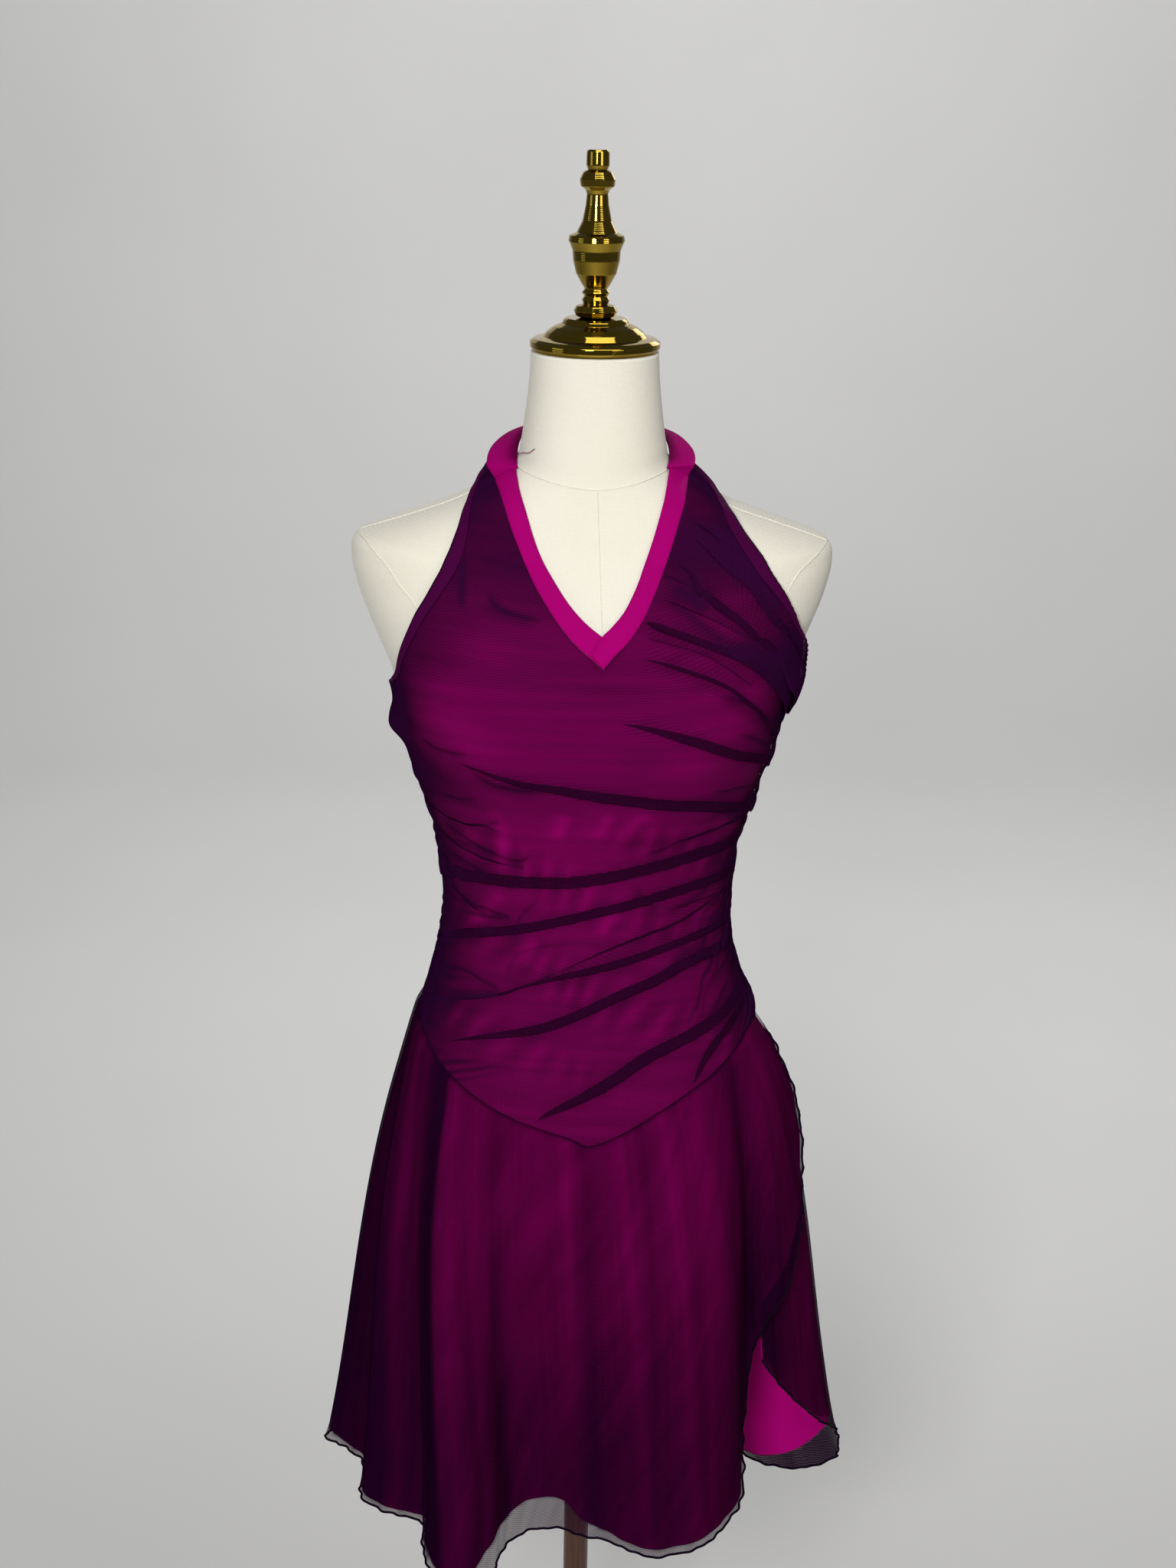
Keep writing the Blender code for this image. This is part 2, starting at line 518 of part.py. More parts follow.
def half_front(side, out=0.0):
    """Half of the front, outer edge to inner edge in each row; side is -1 or 1.

    The rows below the V climb by level and dip to the waist seam, and the rows beside it
    run straight from the armhole to the neck seam at equal shares of both curves.
    """
    armhole, neck = (ARMHOLE_LEFT, NECK_SEAM_LEFT) if side < 0 else (ARMHOLE_RIGHT, NECK_SEAM_RIGHT)
    gap = side * SEAM_GAP / 2 / GIRTH_LENGTH
    share = np.linspace(0, 1, BODICE_COLUMNS + 1)
    below = np.linspace(SIDE_WAIST_LEVEL, V_LEVEL, BODICE_ROWS_BELOW_V + 1)
    outer = read_table(armhole, below)[..., 1]
    outer = np.where(below <= UNDERARM_LEVEL, side - gap, outer)
    climb = (below - SIDE_WAIST_LEVEL) / (V_LEVEL - SIDE_WAIST_LEVEL)
    inner = WAIST_POINT_GIRTH + (V_GIRTH - WAIST_POINT_GIRTH) * climb
    girth = outer[:, None] + (inner - outer)[:, None] * share
    level = np.broadcast_to(below[:, None], girth.shape)
    dip = np.clip((WAIST_DIP_TOP - level) / (WAIST_DIP_TOP - SIDE_WAIST_LEVEL), 0, 1) ** 1.3
    level = level + (waist_level(girth) + SEAM_GAP / 2 - SIDE_WAIST_LEVEL) * dip
    rows = np.linspace(0, 1, BODICE_ROWS_BESIDE_V + 1)[1:]
    outer_girth, outer_level = along_curve(armhole, rows, start_level=V_LEVEL)
    inner_girth, inner_level = along_curve(neck, rows)
    inner_girth = inner_girth + 2 * gap
    beside_girth = outer_girth[:, None] + (inner_girth - outer_girth)[:, None] * share
    beside_level = outer_level[:, None] + (inner_level - outer_level)[:, None] * share
    girth = np.concatenate([girth, beside_girth])
    level = np.concatenate([level, beside_level])
    every_other_row = np.arange(len(girth))[:, None] % 2
    near_seam = ramp(girth, GATHER_START_GIRTH, 1.0)
    near_seam = near_seam * (1 - ramp(level, GATHER_TOP_LEVEL - 0.02, GATHER_TOP_LEVEL))
    return bodice_surface(girth, level, out + GATHER_HEIGHT * every_other_row * near_seam)


def bodice_front():
    """One panel: two halves that share the centre column up to the point of the V."""
    left, right = half_front(-1), half_front(1)[:, ::-1]
    rows, columns = left.shape[:2]
    faces = np.concatenate([grid_faces(rows, columns), grid_faces(rows, columns, first=rows * columns)])
    shared = np.arange(BODICE_ROWS_BELOW_V + 1) * columns
    index = np.arange(2 * rows * columns)
    index[rows * columns + shared] = shared + columns - 1
    used, faces = np.unique(index[faces], return_inverse=True)
    points = np.concatenate([left.reshape(-1, 3), right.reshape(-1, 3)])[used]
    piece = add_object("bodice_front", points, faces.reshape(-1, 4), "dress_mesh")
    thicken(piece, BODICE_WALL)


def bodice_back():
    """A plain low back from side seam to side seam."""
    side_gap = SEAM_GAP / 2 / GIRTH_LENGTH
    girths = np.linspace(1 + side_gap, 3 - side_gap, BACK_COLUMNS + 1)
    share = np.linspace(0, 1, BACK_ROWS + 1)[:, None]
    bottom = waist_level(girths) + SEAM_GAP / 2
    top = BACK_TOP_LEVEL + (UNDERARM_LEVEL - BACK_TOP_LEVEL) * np.sin(np.pi / 2 * girths) ** 2
    level = bottom + (top - bottom) * share
    grid = bodice_surface(np.broadcast_to(girths, level.shape), level)
    add_cloth("bodice_back", grid, BODICE_WALL, "dress_mesh")


def strip_along_edge(grid, width):
    """Points at three distances in from the first column, measured along each row."""
    steps = np.linalg.norm(np.diff(grid, axis=1), axis=-1)
    length = np.concatenate([np.zeros((len(grid), 1)), np.cumsum(steps, axis=1)], axis=1)
    strip = []
    for row, row_length in zip(grid, length):
        places = np.linspace(0, min(width, row_length[-1]), 3)
        strip.append([[np.interp(p, row_length, row[:, axis]) for axis in range(3)] for p in places])
    return np.asarray(strip)


def armhole_bands():
    """The turned and stitched armhole edges: strips of the panel's own rows, moved out."""
    first_row = round(BODICE_ROWS_BELOW_V * (UNDERARM_LEVEL - SIDE_WAIST_LEVEL) / (V_LEVEL - SIDE_WAIST_LEVEL))
    for name, side in (("armhole_band_left", -1), ("armhole_band_right", 1)):
        rows = half_front(side, BODICE_WALL + STITCHED_ON_GAP)[first_row:]
        grid = strip_along_edge(rows, ARMHOLE_BAND_WIDTH)
        if side > 0:
            grid = grid[:, ::-1]
        add_cloth(name, grid, BAND_WALL, "dress_mesh")


def neck_bands():
    """The V-neck's two bands, cut from the lining cloth and set edge to edge with the panel."""
    rows = np.linspace(0, 1, BODICE_ROWS_BESIDE_V + 1)
    for name, side in (("neck_band_left", -1), ("neck_band_right", 1)):
        seam, edge = (NECK_SEAM_LEFT, NECK_EDGE_LEFT) if side < 0 else (NECK_SEAM_RIGHT, NECK_EDGE_RIGHT)
        shares = rows[1:] if side < 0 else rows
        seam_girth, seam_level = along_curve(seam, shares)
        edge_girth, edge_level = along_curve(edge, (shares - shares[0]) / (1 - shares[0]))
        across = np.linspace(0, 1, 3)
        girth = seam_girth[:, None] + (edge_girth - seam_girth)[:, None] * across
        level = seam_level[:, None] + (edge_level - seam_level)[:, None] * across
        grid = raised(form_surface, girth, level, FORM_TO_BODICE + strap_lift(girth, level))
        if side > 0:
            grid = grid[:, ::-1]
        add_cloth(name, grid, BAND_WALL, "dress_lining")


def neck_strap():
    """The halter strap: a leaning ribbon between an inner and an outer curve round the neck."""
    rows = read_rows(NECK_STRAP, np.linspace(0, len(NECK_STRAP) - 1, STRAP_ROWS))
    inner_angle, outer_angle = np.radians(rows[:, 0]), np.radians(rows[:, 3])
    inner = np.stack(
        [rows[:, 1] * np.cos(inner_angle), rows[:, 1] * np.sin(inner_angle), rows[:, 2]], axis=-1
    )
    outer = np.stack(
        [rows[:, 4] * np.cos(outer_angle), rows[:, 4] * np.sin(outer_angle), rows[:, 5]], axis=-1
    )
    share = np.linspace(0, 1, 3)[None, :, None]
    grid = inner[:, None] + (outer - inner)[:, None] * share
    add_cloth("neck_strap", grid[:, ::-1], BAND_WALL, "dress_lining")


def off_form(point, drop):
    """Push a skirt point out where it would come nearer to the form than cloth lies on the hips."""
    angle = np.degrees(np.arctan2(point[..., 1], point[..., 0]))
    on_form = form_surface((angle + 90) / 90, point[..., 2])
    radius = np.linalg.norm(point[..., :2], axis=-1)
    missing = np.linalg.norm(on_form[..., :2], axis=-1) + SKIRT_OFF_FORM - radius
    softness = 0.0015
    push = softness * np.logaddexp(0, missing / softness) * ramp(drop, 0.0, 0.03)
    point[..., :2] *= ((radius + push) / radius)[..., None]
    return point


def skirt_seam(girth):
    return form_surface(girth, waist_level(girth) - SEAM_GAP / 2 - SKIRT_TOP_DROP)


def skirt_surface(place, drop):
    """The skirt by a column's place in the hem tables and the drop from seam to hem.

    Each column runs from the waist seam to its hem point, eased out over the hips.
    """
    row = read_rows(SKIRT_BACK + SKIRT_FRONT, place)
    seam, hem = skirt_seam(row[..., 0]), row[..., 1:4]
    length = np.linalg.norm(hem - seam, axis=-1)
    way_out = hem[..., :2] + seam[..., :2]
    way_out = way_out / np.linalg.norm(way_out, axis=-1, keepdims=True)
    flare = RIGHT_FLARE_EASE * np.exp(-(((row[..., 0] - RIGHT_FLARE_GIRTH) / RIGHT_FLARE_SPREAD) ** 2))
    ease = (HIP_EASE + flare) * ramp(length, 0.0, 0.30) * 6.75 * drop * (1 - drop) ** 2
    point = seam + (hem - seam) * drop[..., None]
    late = np.clip(drop, 0, 1) ** SLIT_EDGE_BEND
    turn = 1 - ramp(place, 0.0, SLIT_EDGE_COLUMNS)
    point[..., 1] += turn * (hem[..., 1] - seam[..., 1]) * (late - drop)
    point[..., :2] += way_out * ease[..., None]
    return off_form(point, drop)


def skirt_layers(side, girths):
    """A panel's mesh and its lining, which shares the mesh's columns and stops short of its hem."""
    table = np.asarray(SKIRT_BACK + SKIRT_FRONT)
    columns = np.interp(girths, table[:, 0], np.arange(len(table)))
    row = read_rows(table, columns)
    length = np.linalg.norm(row[:, 1:4] - skirt_seam(row[:, 0]), axis=-1)
    drop = np.broadcast_to(np.linspace(1, 0, SKIRT_ROWS + 1)[:, None], (SKIRT_ROWS + 1, len(columns)))
    place = np.broadcast_to(columns, drop.shape)
    lining_drop = np.minimum(drop, 1 - row[:, 4] / length)
    lining_out = FORM_TO_LINING - LINING_INSET * ramp(drop, 0.25, 0.7)
    mesh_out = np.full(drop.shape, FORM_TO_LINING + SKIRT_WALL + LAYER_GAP)
    for layer, out, drops, finish in (
        ("lining", lining_out, lining_drop, "dress_lining"),
        ("mesh", mesh_out, drop, "dress_mesh"),
    ):
        grid = raised(skirt_surface, place, drops, out, flip=-1.0)
        seam_level = waist_level(girths) - SEAM_GAP / 2 - SKIRT_TOP_DROP
        grid[-1] = raised(form_surface, girths, seam_level, out[-1])
        add_cloth(f"skirt_{side}_{layer}", grid, SKIRT_WALL, finish)


def skirt():
    """Two panels; they meet at the left side and part at the right hip, the front one outside."""
    knots = waist_knots()
    split = SKIRT_COLUMNS_PER_BODICE_COLUMN
    fine = np.interp(np.arange((len(knots) - 1) * split + 1) / split, np.arange(len(knots)), knots)
    side_gap = SEAM_GAP / 2 / GIRTH_LENGTH
    front = np.clip(fine[fine <= 1], -1 + side_gap, 1 - side_gap)
    back = np.clip(fine[fine >= 1] - 4, -3 + side_gap, -1 - side_gap)
    skirt_layers("front", front)
    skirt_layers("back", back)


def main():
    for old in list(bpy.data.objects):
        bpy.data.objects.remove(old)
    collection = bpy.data.collections.new("skating_dress")
    bpy.context.scene.collection.children.link(collection)
    form_torso()
    stand()
    bodice_front()
    bodice_back()
    armhole_bands()
    neck_bands()
    neck_strap()
    skirt()


main()
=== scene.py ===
"""Figure skating dress on its dress form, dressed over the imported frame.

Metres, +Z up, the dress faces -Y. Cloth is read off the form by girth and level: girth -1
is the left side seam as seen from the front, 0 the front centre, 1 the right side seam and
2 the back centre, and level is the height at the front centre.
"""

import math

import bmesh
import bpy
import numpy as np
from mathutils import Matrix, Vector


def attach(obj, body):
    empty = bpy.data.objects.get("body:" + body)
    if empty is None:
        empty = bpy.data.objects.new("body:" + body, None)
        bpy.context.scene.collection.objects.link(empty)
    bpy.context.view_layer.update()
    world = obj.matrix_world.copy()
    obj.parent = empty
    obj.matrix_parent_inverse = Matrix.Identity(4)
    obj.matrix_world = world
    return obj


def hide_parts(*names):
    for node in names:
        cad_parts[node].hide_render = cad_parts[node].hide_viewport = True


bl_info = {
    "name": "Figure skating dress on a dress form",
    "version": (1, 0, 0),
    "blender": (4, 5, 0),
    "location": "View3D > Sidebar > Skating dress",
    "description": "Builds a ruched halter skating dress, its dress form and a soft studio",
    "category": "Object",
}

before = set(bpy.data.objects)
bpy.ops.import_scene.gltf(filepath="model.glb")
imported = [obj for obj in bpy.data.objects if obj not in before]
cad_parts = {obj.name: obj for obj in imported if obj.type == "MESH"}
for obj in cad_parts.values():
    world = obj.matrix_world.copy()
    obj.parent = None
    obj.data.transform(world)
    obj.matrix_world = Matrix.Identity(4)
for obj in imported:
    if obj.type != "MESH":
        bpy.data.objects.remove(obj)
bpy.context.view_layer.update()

# Form rings: front_level, side_level, back_level, half_width, front_depth, back_depth
FORM_SECTIONS = (
    (0.700, 0.700, 0.700, 0.1180, 0.0780, 0.0880),
    (0.712, 0.712, 0.712, 0.1420, 0.0900, 0.1060),
    (0.740, 0.740, 0.740, 0.1530, 0.0960, 0.1160),
    (0.790, 0.790, 0.790, 0.1580, 0.0990, 0.1210),
    (0.840, 0.840, 0.840, 0.1510, 0.1000, 0.1160),
    (0.880, 0.880, 0.880, 0.1425, 0.0990, 0.1070),
    (0.920, 0.920, 0.920, 0.1310, 0.0950, 0.0960),
    (0.960, 0.960, 0.960, 0.1200, 0.0890, 0.0860),
    (1.000, 1.000, 1.000, 0.1150, 0.0840, 0.0810),
    (1.030, 1.030, 1.030, 0.1157, 0.0860, 0.0820),
    (1.060, 1.060, 1.060, 0.1200, 0.0920, 0.0860),
    (1.100, 1.100, 1.100, 0.1315, 0.1060, 0.0930),
    (1.140, 1.140, 1.140, 0.1447, 0.1180, 0.0990),
    (1.170, 1.170, 1.170, 0.1520, 0.1220, 0.1020),
    (1.200, 1.203, 1.200, 0.1585, 0.1180, 0.1050),
    (1.225, 1.236, 1.230, 0.1725, 0.1080, 0.1060),
    (1.250, 1.268, 1.260, 0.1845, 0.0970, 0.1050),
    (1.270, 1.292, 1.288, 0.1895, 0.0880, 0.1020),
    (1.285, 1.306, 1.305, 0.1865, 0.0815, 0.0970),
    (1.297, 1.3125, 1.320, 0.1720, 0.0765, 0.0910),
    (1.310, 1.3225, 1.335, 0.1420, 0.0715, 0.0830),
    (1.325, 1.335, 1.350, 0.1080, 0.0665, 0.0740),
    (1.340, 1.349, 1.364, 0.0820, 0.0620, 0.0670),
    (1.352, 1.361, 1.374, 0.0660, 0.0585, 0.0610),
    (1.362, 1.370, 1.381, 0.0590, 0.0560, 0.0570),
    (1.375, 1.382, 1.388, 0.0565, 0.0540, 0.0540),
    (1.400, 1.403, 1.404, 0.0535, 0.0510, 0.0510),
    (1.430, 1.430, 1.430, 0.0505, 0.0490, 0.0490),
    (1.4515, 1.4515, 1.4515, 0.0492, 0.0485, 0.0485),
)
RING_SQUARENESS = 2.3
# Seams of the linen cover: places girth, level
FORM_SEAMS = (
    ("form_seam_front", ((0.062, 1.225), (0.060, 1.2495), (0.057, 1.290), (0.052, 1.321), (0.042, 1.3545))),
    ("form_seam_neck", (
        (-0.98, 1.3590), (-0.772, 1.3578), (-0.492, 1.3572), (-0.215, 1.3555), (0.042, 1.3545),
        (0.295, 1.3555), (0.510, 1.3572), (0.748, 1.3582), (0.98, 1.3595), (1.5, 1.361),
        (2.0, 1.361), (2.5, 1.361), (3.02, 1.3590),
    )),
    ("form_seam_shoulder_left", (
        (-1.02, 1.2890), (-1.0, 1.300), (-0.985, 1.320), (-0.97, 1.340), (-0.96, 1.358),
    )),
    ("form_seam_shoulder_right", (
        (0.972, 1.2875), (0.966, 1.3025), (0.958, 1.3125), (0.935, 1.3225), (0.93, 1.340),
        (0.93, 1.358),
    )),
    ("form_seam_arm_left", (
        (-1.02, 1.2890), (-0.932, 1.2885), (-0.880, 1.2865), (-0.800, 1.2755), (-0.742, 1.2625),
        (-0.680, 1.2505), (-0.64, 1.236),
    )),
    ("form_seam_arm_right", (
        (0.972, 1.2875), (0.900, 1.2850), (0.828, 1.2775), (0.785, 1.2700), (0.750, 1.2600),
        (0.72, 1.248),
    )),
    ("form_seam_back", ((2.0, 1.105), (2.0, 1.180), (2.0, 1.260), (2.0, 1.320), (2.0, 1.361))),
)
# Bust: girth and level of its middle on either side, its rise and its two spreads
BUST_GIRTH, BUST_LEVEL, BUST_RISE = 0.37, 1.168, 0.006
BUST_GIRTH_SPREAD, BUST_LEVEL_SPREAD = 0.22, 0.040
# Metres of flat cloth that a girth of 1 stands for
GIRTH_LENGTH = 0.165

# Dropped waist seam: girth, level
WAIST_SEAM = (
    (-1.000, 0.914), (-0.750, 0.889), (-0.616, 0.872), (-0.490, 0.857), (-0.336, 0.844),
    (-0.162, 0.8345), (-0.060, 0.829), (0.025, 0.823), (0.118, 0.827), (0.258, 0.8395),
    (0.388, 0.8535), (0.496, 0.866), (0.612, 0.878), (0.686, 0.8865), (1.000, 0.906),
    (1.500, 0.905), (2.000, 0.905), (2.500, 0.909), (3.000, 0.914),
)
# Front panel: level of its straight rows at the waist, where they start to dip, centre of the seam
SIDE_WAIST_LEVEL, WAIST_DIP_TOP, WAIST_POINT_GIRTH = 0.910, 1.100, 0.022
# Top edge of the back at its middle, and of the side seams
BACK_TOP_LEVEL, UNDERARM_LEVEL = 1.120, 1.187

# Armholes from the underarm to the strap: level, girth
ARMHOLE_LEFT = (
    (1.1870, -1.000), (1.1930, -0.885), (1.2005, -0.805), (1.2155, -0.740), (1.2265, -0.710),
    (1.2375, -0.688), (1.2480, -0.672), (1.2585, -0.655), (1.2690, -0.645), (1.2805, -0.640),
    (1.2935, -0.650), (1.3055, -0.675), (1.3160, -0.715), (1.3255, -0.785), (1.3325, -0.880),
    (1.3390, -0.990), (1.3440, -1.080),
)
ARMHOLE_RIGHT = (
    (1.1870, 1.000), (1.2000, 0.955), (1.2110, 0.912), (1.2230, 0.857), (1.2365, 0.792),
    (1.2475, 0.763), (1.2585, 0.740), (1.2690, 0.722), (1.2805, 0.713), (1.2940, 0.720),
    (1.3065, 0.742), (1.3165, 0.780), (1.3250, 0.855), (1.3310, 0.943), (1.3370, 1.010),
    (1.3475, 1.038),
)
# Seams of the neck bands with the front, and the bands' free edges: level, girth
V_LEVEL, V_GIRTH = 1.2260, 0.062
NECK_SEAM_LEFT = (
    (V_LEVEL, V_GIRTH), (1.2345, 0.000), (1.2445, -0.082), (1.2545, -0.150), (1.2640, -0.210),
    (1.2730, -0.264), (1.2825, -0.318), (1.2930, -0.368), (1.3035, -0.417), (1.3135, -0.468),
    (1.3235, -0.526), (1.3325, -0.595), (1.3400, -0.700), (1.3450, -0.875),
)
NECK_SEAM_RIGHT = (
    (V_LEVEL, V_GIRTH), (1.2340, 0.106), (1.2440, 0.178), (1.2540, 0.236), (1.2635, 0.284),
    (1.2730, 0.325), (1.2825, 0.365), (1.2935, 0.406), (1.3045, 0.450), (1.3150, 0.497),
    (1.3250, 0.552), (1.3335, 0.622), (1.3415, 0.722), (1.3475, 0.890),
)
NECK_EDGE_LEFT = (
    (1.2495, 0.056), (1.2570, -0.012), (1.2660, -0.084), (1.2755, -0.150), (1.2855, -0.213),
    (1.2955, -0.273), (1.3055, -0.326), (1.3160, -0.375), (1.3265, -0.425), (1.3360, -0.482),
    (1.3445, -0.558), (1.3520, -0.655), (1.3570, -0.760),
)
NECK_EDGE_RIGHT = (
    (1.2365, 0.004), (1.2430, 0.032), (1.2495, 0.060), (1.2555, 0.106), (1.2650, 0.172),
    (1.2750, 0.222), (1.2850, 0.266), (1.2960, 0.307), (1.3065, 0.350), (1.3170, 0.394),
    (1.3275, 0.442), (1.3370, 0.497), (1.3460, 0.570), (1.3540, 0.668), (1.3590, 0.760),
)
RIGHT_TOP_CORNER = (1.3500, 0.975)
# The right band's end over the left one: its rise, and share of the length until it is down
LAP_RISE, LAP_LENGTH = 0.0019, 0.16
# Girth by which the back panel runs on past each side seam
SIDE_LAP = 0.010

# Halter strap: inner_angle, inner_radius, inner_height, outer_angle, outer_radius, outer_height
NECK_STRAP = (
    (-156.0, 0.0634, 1.3648, -171.5, 0.0835, 1.3645),
    (-171.0, 0.0594, 1.3715, -183.0, 0.0815, 1.3710),
    (-188.0, 0.0578, 1.3790, -196.0, 0.0785, 1.3765),
    (-210.0, 0.0576, 1.3860, -214.0, 0.0755, 1.3815),
    (-240.0, 0.0560, 1.3915, -240.0, 0.0715, 1.3850),
    (-270.0, 0.0540, 1.3935, -270.0, 0.0695, 1.3860),
    (-300.0, 0.0560, 1.3915, -300.0, 0.0715, 1.3850),
    (-330.0, 0.0576, 1.3860, -326.0, 0.0750, 1.3815),
    (-352.0, 0.0578, 1.3790, -344.0, 0.0770, 1.3765),
    (-370.0, 0.0594, 1.3720, -357.5, 0.0790, 1.3715),
    (-384.5, 0.0624, 1.3668, -370.0, 0.0797, 1.3660),
)

# End of sewing thread that stands out of the left joint: girth, level, distance off the form
LOOSE_THREAD = (
    (-0.895, 1.3575, 0.0016), (-0.880, 1.3610, 0.0024), (-0.833, 1.3645, 0.0030), (-0.747, 1.3680, 0.0034),
    (-0.672, 1.3712, 0.0040), (-0.603, 1.3728, 0.0030), (-0.545, 1.3775, 0.0020),
)

# Laid-over pleats of the ruched front: overlap, share of the length that fades in on the left,
# overlap kept at the right end, and places girth, level from left to right
PLEATS = (
    (0.0070, 0.45, 0.9, (
        (0.06, 1.190), (0.208, 1.186), (0.380, 1.1745), (0.562, 1.158), (0.744, 1.144),
        (1.00, 1.122),
    )),
    (0.0085, 0.60, 0.9, (
        (-0.58, 1.156), (-0.448, 1.1495), (-0.206, 1.1385), (0.058, 1.1305), (0.406, 1.120),
        (0.700, 1.106), (1.00, 1.090),
    )),
    (0.0100, 0.20, 0.7, (
        (-0.96, 1.030), (-0.794, 1.038), (-0.550, 1.0455), (-0.106, 1.050), (0.170, 1.057),
        (0.492, 1.0695), (0.724, 1.072), (1.00, 1.074),
    )),
    (0.0080, 0.22, 0.8, (
        (-0.98, 0.967), (-0.760, 0.984), (-0.574, 0.9955), (-0.206, 1.012), (0.276, 1.031),
        (0.534, 1.040), (0.774, 1.0425), (1.00, 1.046),
    )),
    (0.0016, 0.30, 0.9, (
        (-0.46, 0.953), (-0.196, 0.970), (0.286, 0.999), (0.468, 1.0085), (0.720, 1.0225),
        (1.01, 1.034),
    )),
    (0.0062, 0.45, 0.9, (
        (-0.84, 0.921), (-0.498, 0.9445), (-0.194, 0.9635), (0.192, 0.9785), (0.560, 0.9935),
        (0.768, 0.998), (1.00, 1.004),
    )),
    (0.0082, 0.30, 0.9, (
        (-0.76, 0.890), (-0.500, 0.911), (-0.180, 0.927), (0.186, 0.952), (0.368, 0.9625),
        (0.550, 0.974), (0.784, 0.9795), (1.00, 0.986),
    )),
    (0.0095, 0.35, 0.9, (
        (-0.26, 0.841), (-0.164, 0.8535), (0.090, 0.8765), (0.306, 0.900), (0.444, 0.910),
        (0.706, 0.9265), (1.01, 0.949),
    )),
    (0.0050, 0.35, 0.8, (
        (0.48, 0.862), (0.546, 0.8855), (0.620, 0.902), (0.740, 0.9155), (0.90, 0.930),
        (1.01, 0.940),
    )),
    (0.0062, 0.10, 0.9, (
        (0.230, 1.260), (0.375, 1.2475), (0.495, 1.236), (0.613, 1.2215), (0.708, 1.205),
        (0.785, 1.1895), (0.90, 1.166), (1.01, 1.149),
    )),
    (0.0056, 0.25, 0.9, (
        (0.430, 1.298), (0.488, 1.2855), (0.522, 1.2665), (0.595, 1.2495), (0.655, 1.234),
        (0.733, 1.2155), (0.800, 1.201), (0.90, 1.182), (1.01, 1.166),
    )),
    (0.0070, 0.30, 0.3, (
        (0.575, 1.327), (0.645, 1.313), (0.670, 1.300), (0.690, 1.2865), (0.702, 1.273),
        (0.728, 1.256),
    )),
    (0.0060, 0.25, 0.9, (
        (0.545, 1.318), (0.590, 1.300), (0.617, 1.2845), (0.650, 1.269), (0.672, 1.256),
        (0.700, 1.244), (0.745, 1.232), (0.820, 1.216), (0.915, 1.200),
    )),
    (0.0030, 0.20, 0.9, (
        (0.198, 1.2345), (0.305, 1.2285), (0.400, 1.221), (0.510, 1.210), (0.607, 1.1945),
        (0.670, 1.183), (0.780, 1.163), (0.90, 1.147), (1.01, 1.134),
    )),
    (0.0040, 0.25, 0.9, ((0.690, 1.234), (0.745, 1.219), (0.805, 1.204), (0.870, 1.190), (1.01, 1.160))),
    (0.0014, 0.40, 0.9, ((0.340, 1.084), (0.520, 1.090), (0.700, 1.094), (1.01, 1.101))),
    (0.0012, 0.30, 0.9, ((0.420, 1.020), (0.600, 1.026), (0.800, 1.030), (1.00, 1.036))),
    (0.0012, 0.40, 0.0, ((-0.90, 1.108), (-0.732, 1.098), (-0.560, 1.0945), (-0.400, 1.101))),
    (0.0014, 0.30, 0.0, ((-0.98, 1.092), (-0.780, 1.080), (-0.560, 1.066), (-0.340, 1.061))),
    (0.0012, 0.40, 0.0, ((-0.99, 1.062), (-0.820, 1.052), (-0.640, 1.044))),
    (0.0012, 0.30, 0.0, ((-0.97, 1.042), (-0.760, 1.028), (-0.560, 1.012))),
    (0.0010, 0.30, 0.9, ((0.343, 1.2715), (0.417, 1.264), (0.520, 1.251), (0.620, 1.233))),
    (0.0010, 0.30, 0.9, ((0.248, 1.247), (0.340, 1.2405), (0.470, 1.229), (0.600, 1.209))),
    (0.0008, 0.30, 0.9, ((0.373, 1.288), (0.443, 1.280), (0.500, 1.268))),
)
# Soft wrinkles, raised but not laid over: width, height, and places girth, level
WRINKLES = (
    (0.0050, 0.0016, ((-0.46, 0.867), (-0.186, 0.885), (0.114, 0.900), (0.36, 0.905))),
    (0.0040, 0.0014, ((-0.15, 0.835), (0.014, 0.850), (0.208, 0.859), (0.36, 0.860))),
    (0.0045, -0.0012, ((-0.46, 1.268), (-0.392, 1.257), (-0.295, 1.254), (-0.12, 1.252))),
    (0.0050, -0.0012, ((-0.60, 1.300), (-0.565, 1.272), (-0.527, 1.254))),
    (0.0060, -0.0014, ((-0.74, 1.145), (-0.650, 1.132), (-0.580, 1.117), (-0.500, 1.106))),
    (0.0045, 0.0012, ((-0.96, 1.126), (-0.800, 1.120), (-0.640, 1.121))),
    (0.0045, 0.0012, ((-0.98, 0.998), (-0.840, 0.990), (-0.680, 0.972))),
    (0.0040, 0.0012, ((-0.98, 0.948), (-0.840, 0.944), (-0.680, 0.932))),
    (0.0040, 0.0010, ((0.32, 0.936), (0.50, 0.946), (0.74, 0.956), (0.98, 0.968))),
    (0.0040, 0.0012, ((0.42, 0.892), (0.56, 0.908), (0.72, 0.921), (0.96, 0.936))),
)
# Puffs at the side seams: width, height, and places girth, level
SIDE_PUFFS = (
    (0.0120, 0.0080, ((-1.24, 1.157), (-0.92, 1.160), (-0.62, 1.161))),
    (0.0170, 0.0082, ((0.66, 1.208), (0.94, 1.195), (1.24, 1.184))),
    (0.0160, 0.0045, ((0.70, 0.917), (0.96, 0.911), (1.22, 0.905))),
)
# Half scale across a pleat, and how high a full one stacks
PLEAT_HALF_SCALE, PLEAT_STACK = 0.0040, 0.0021
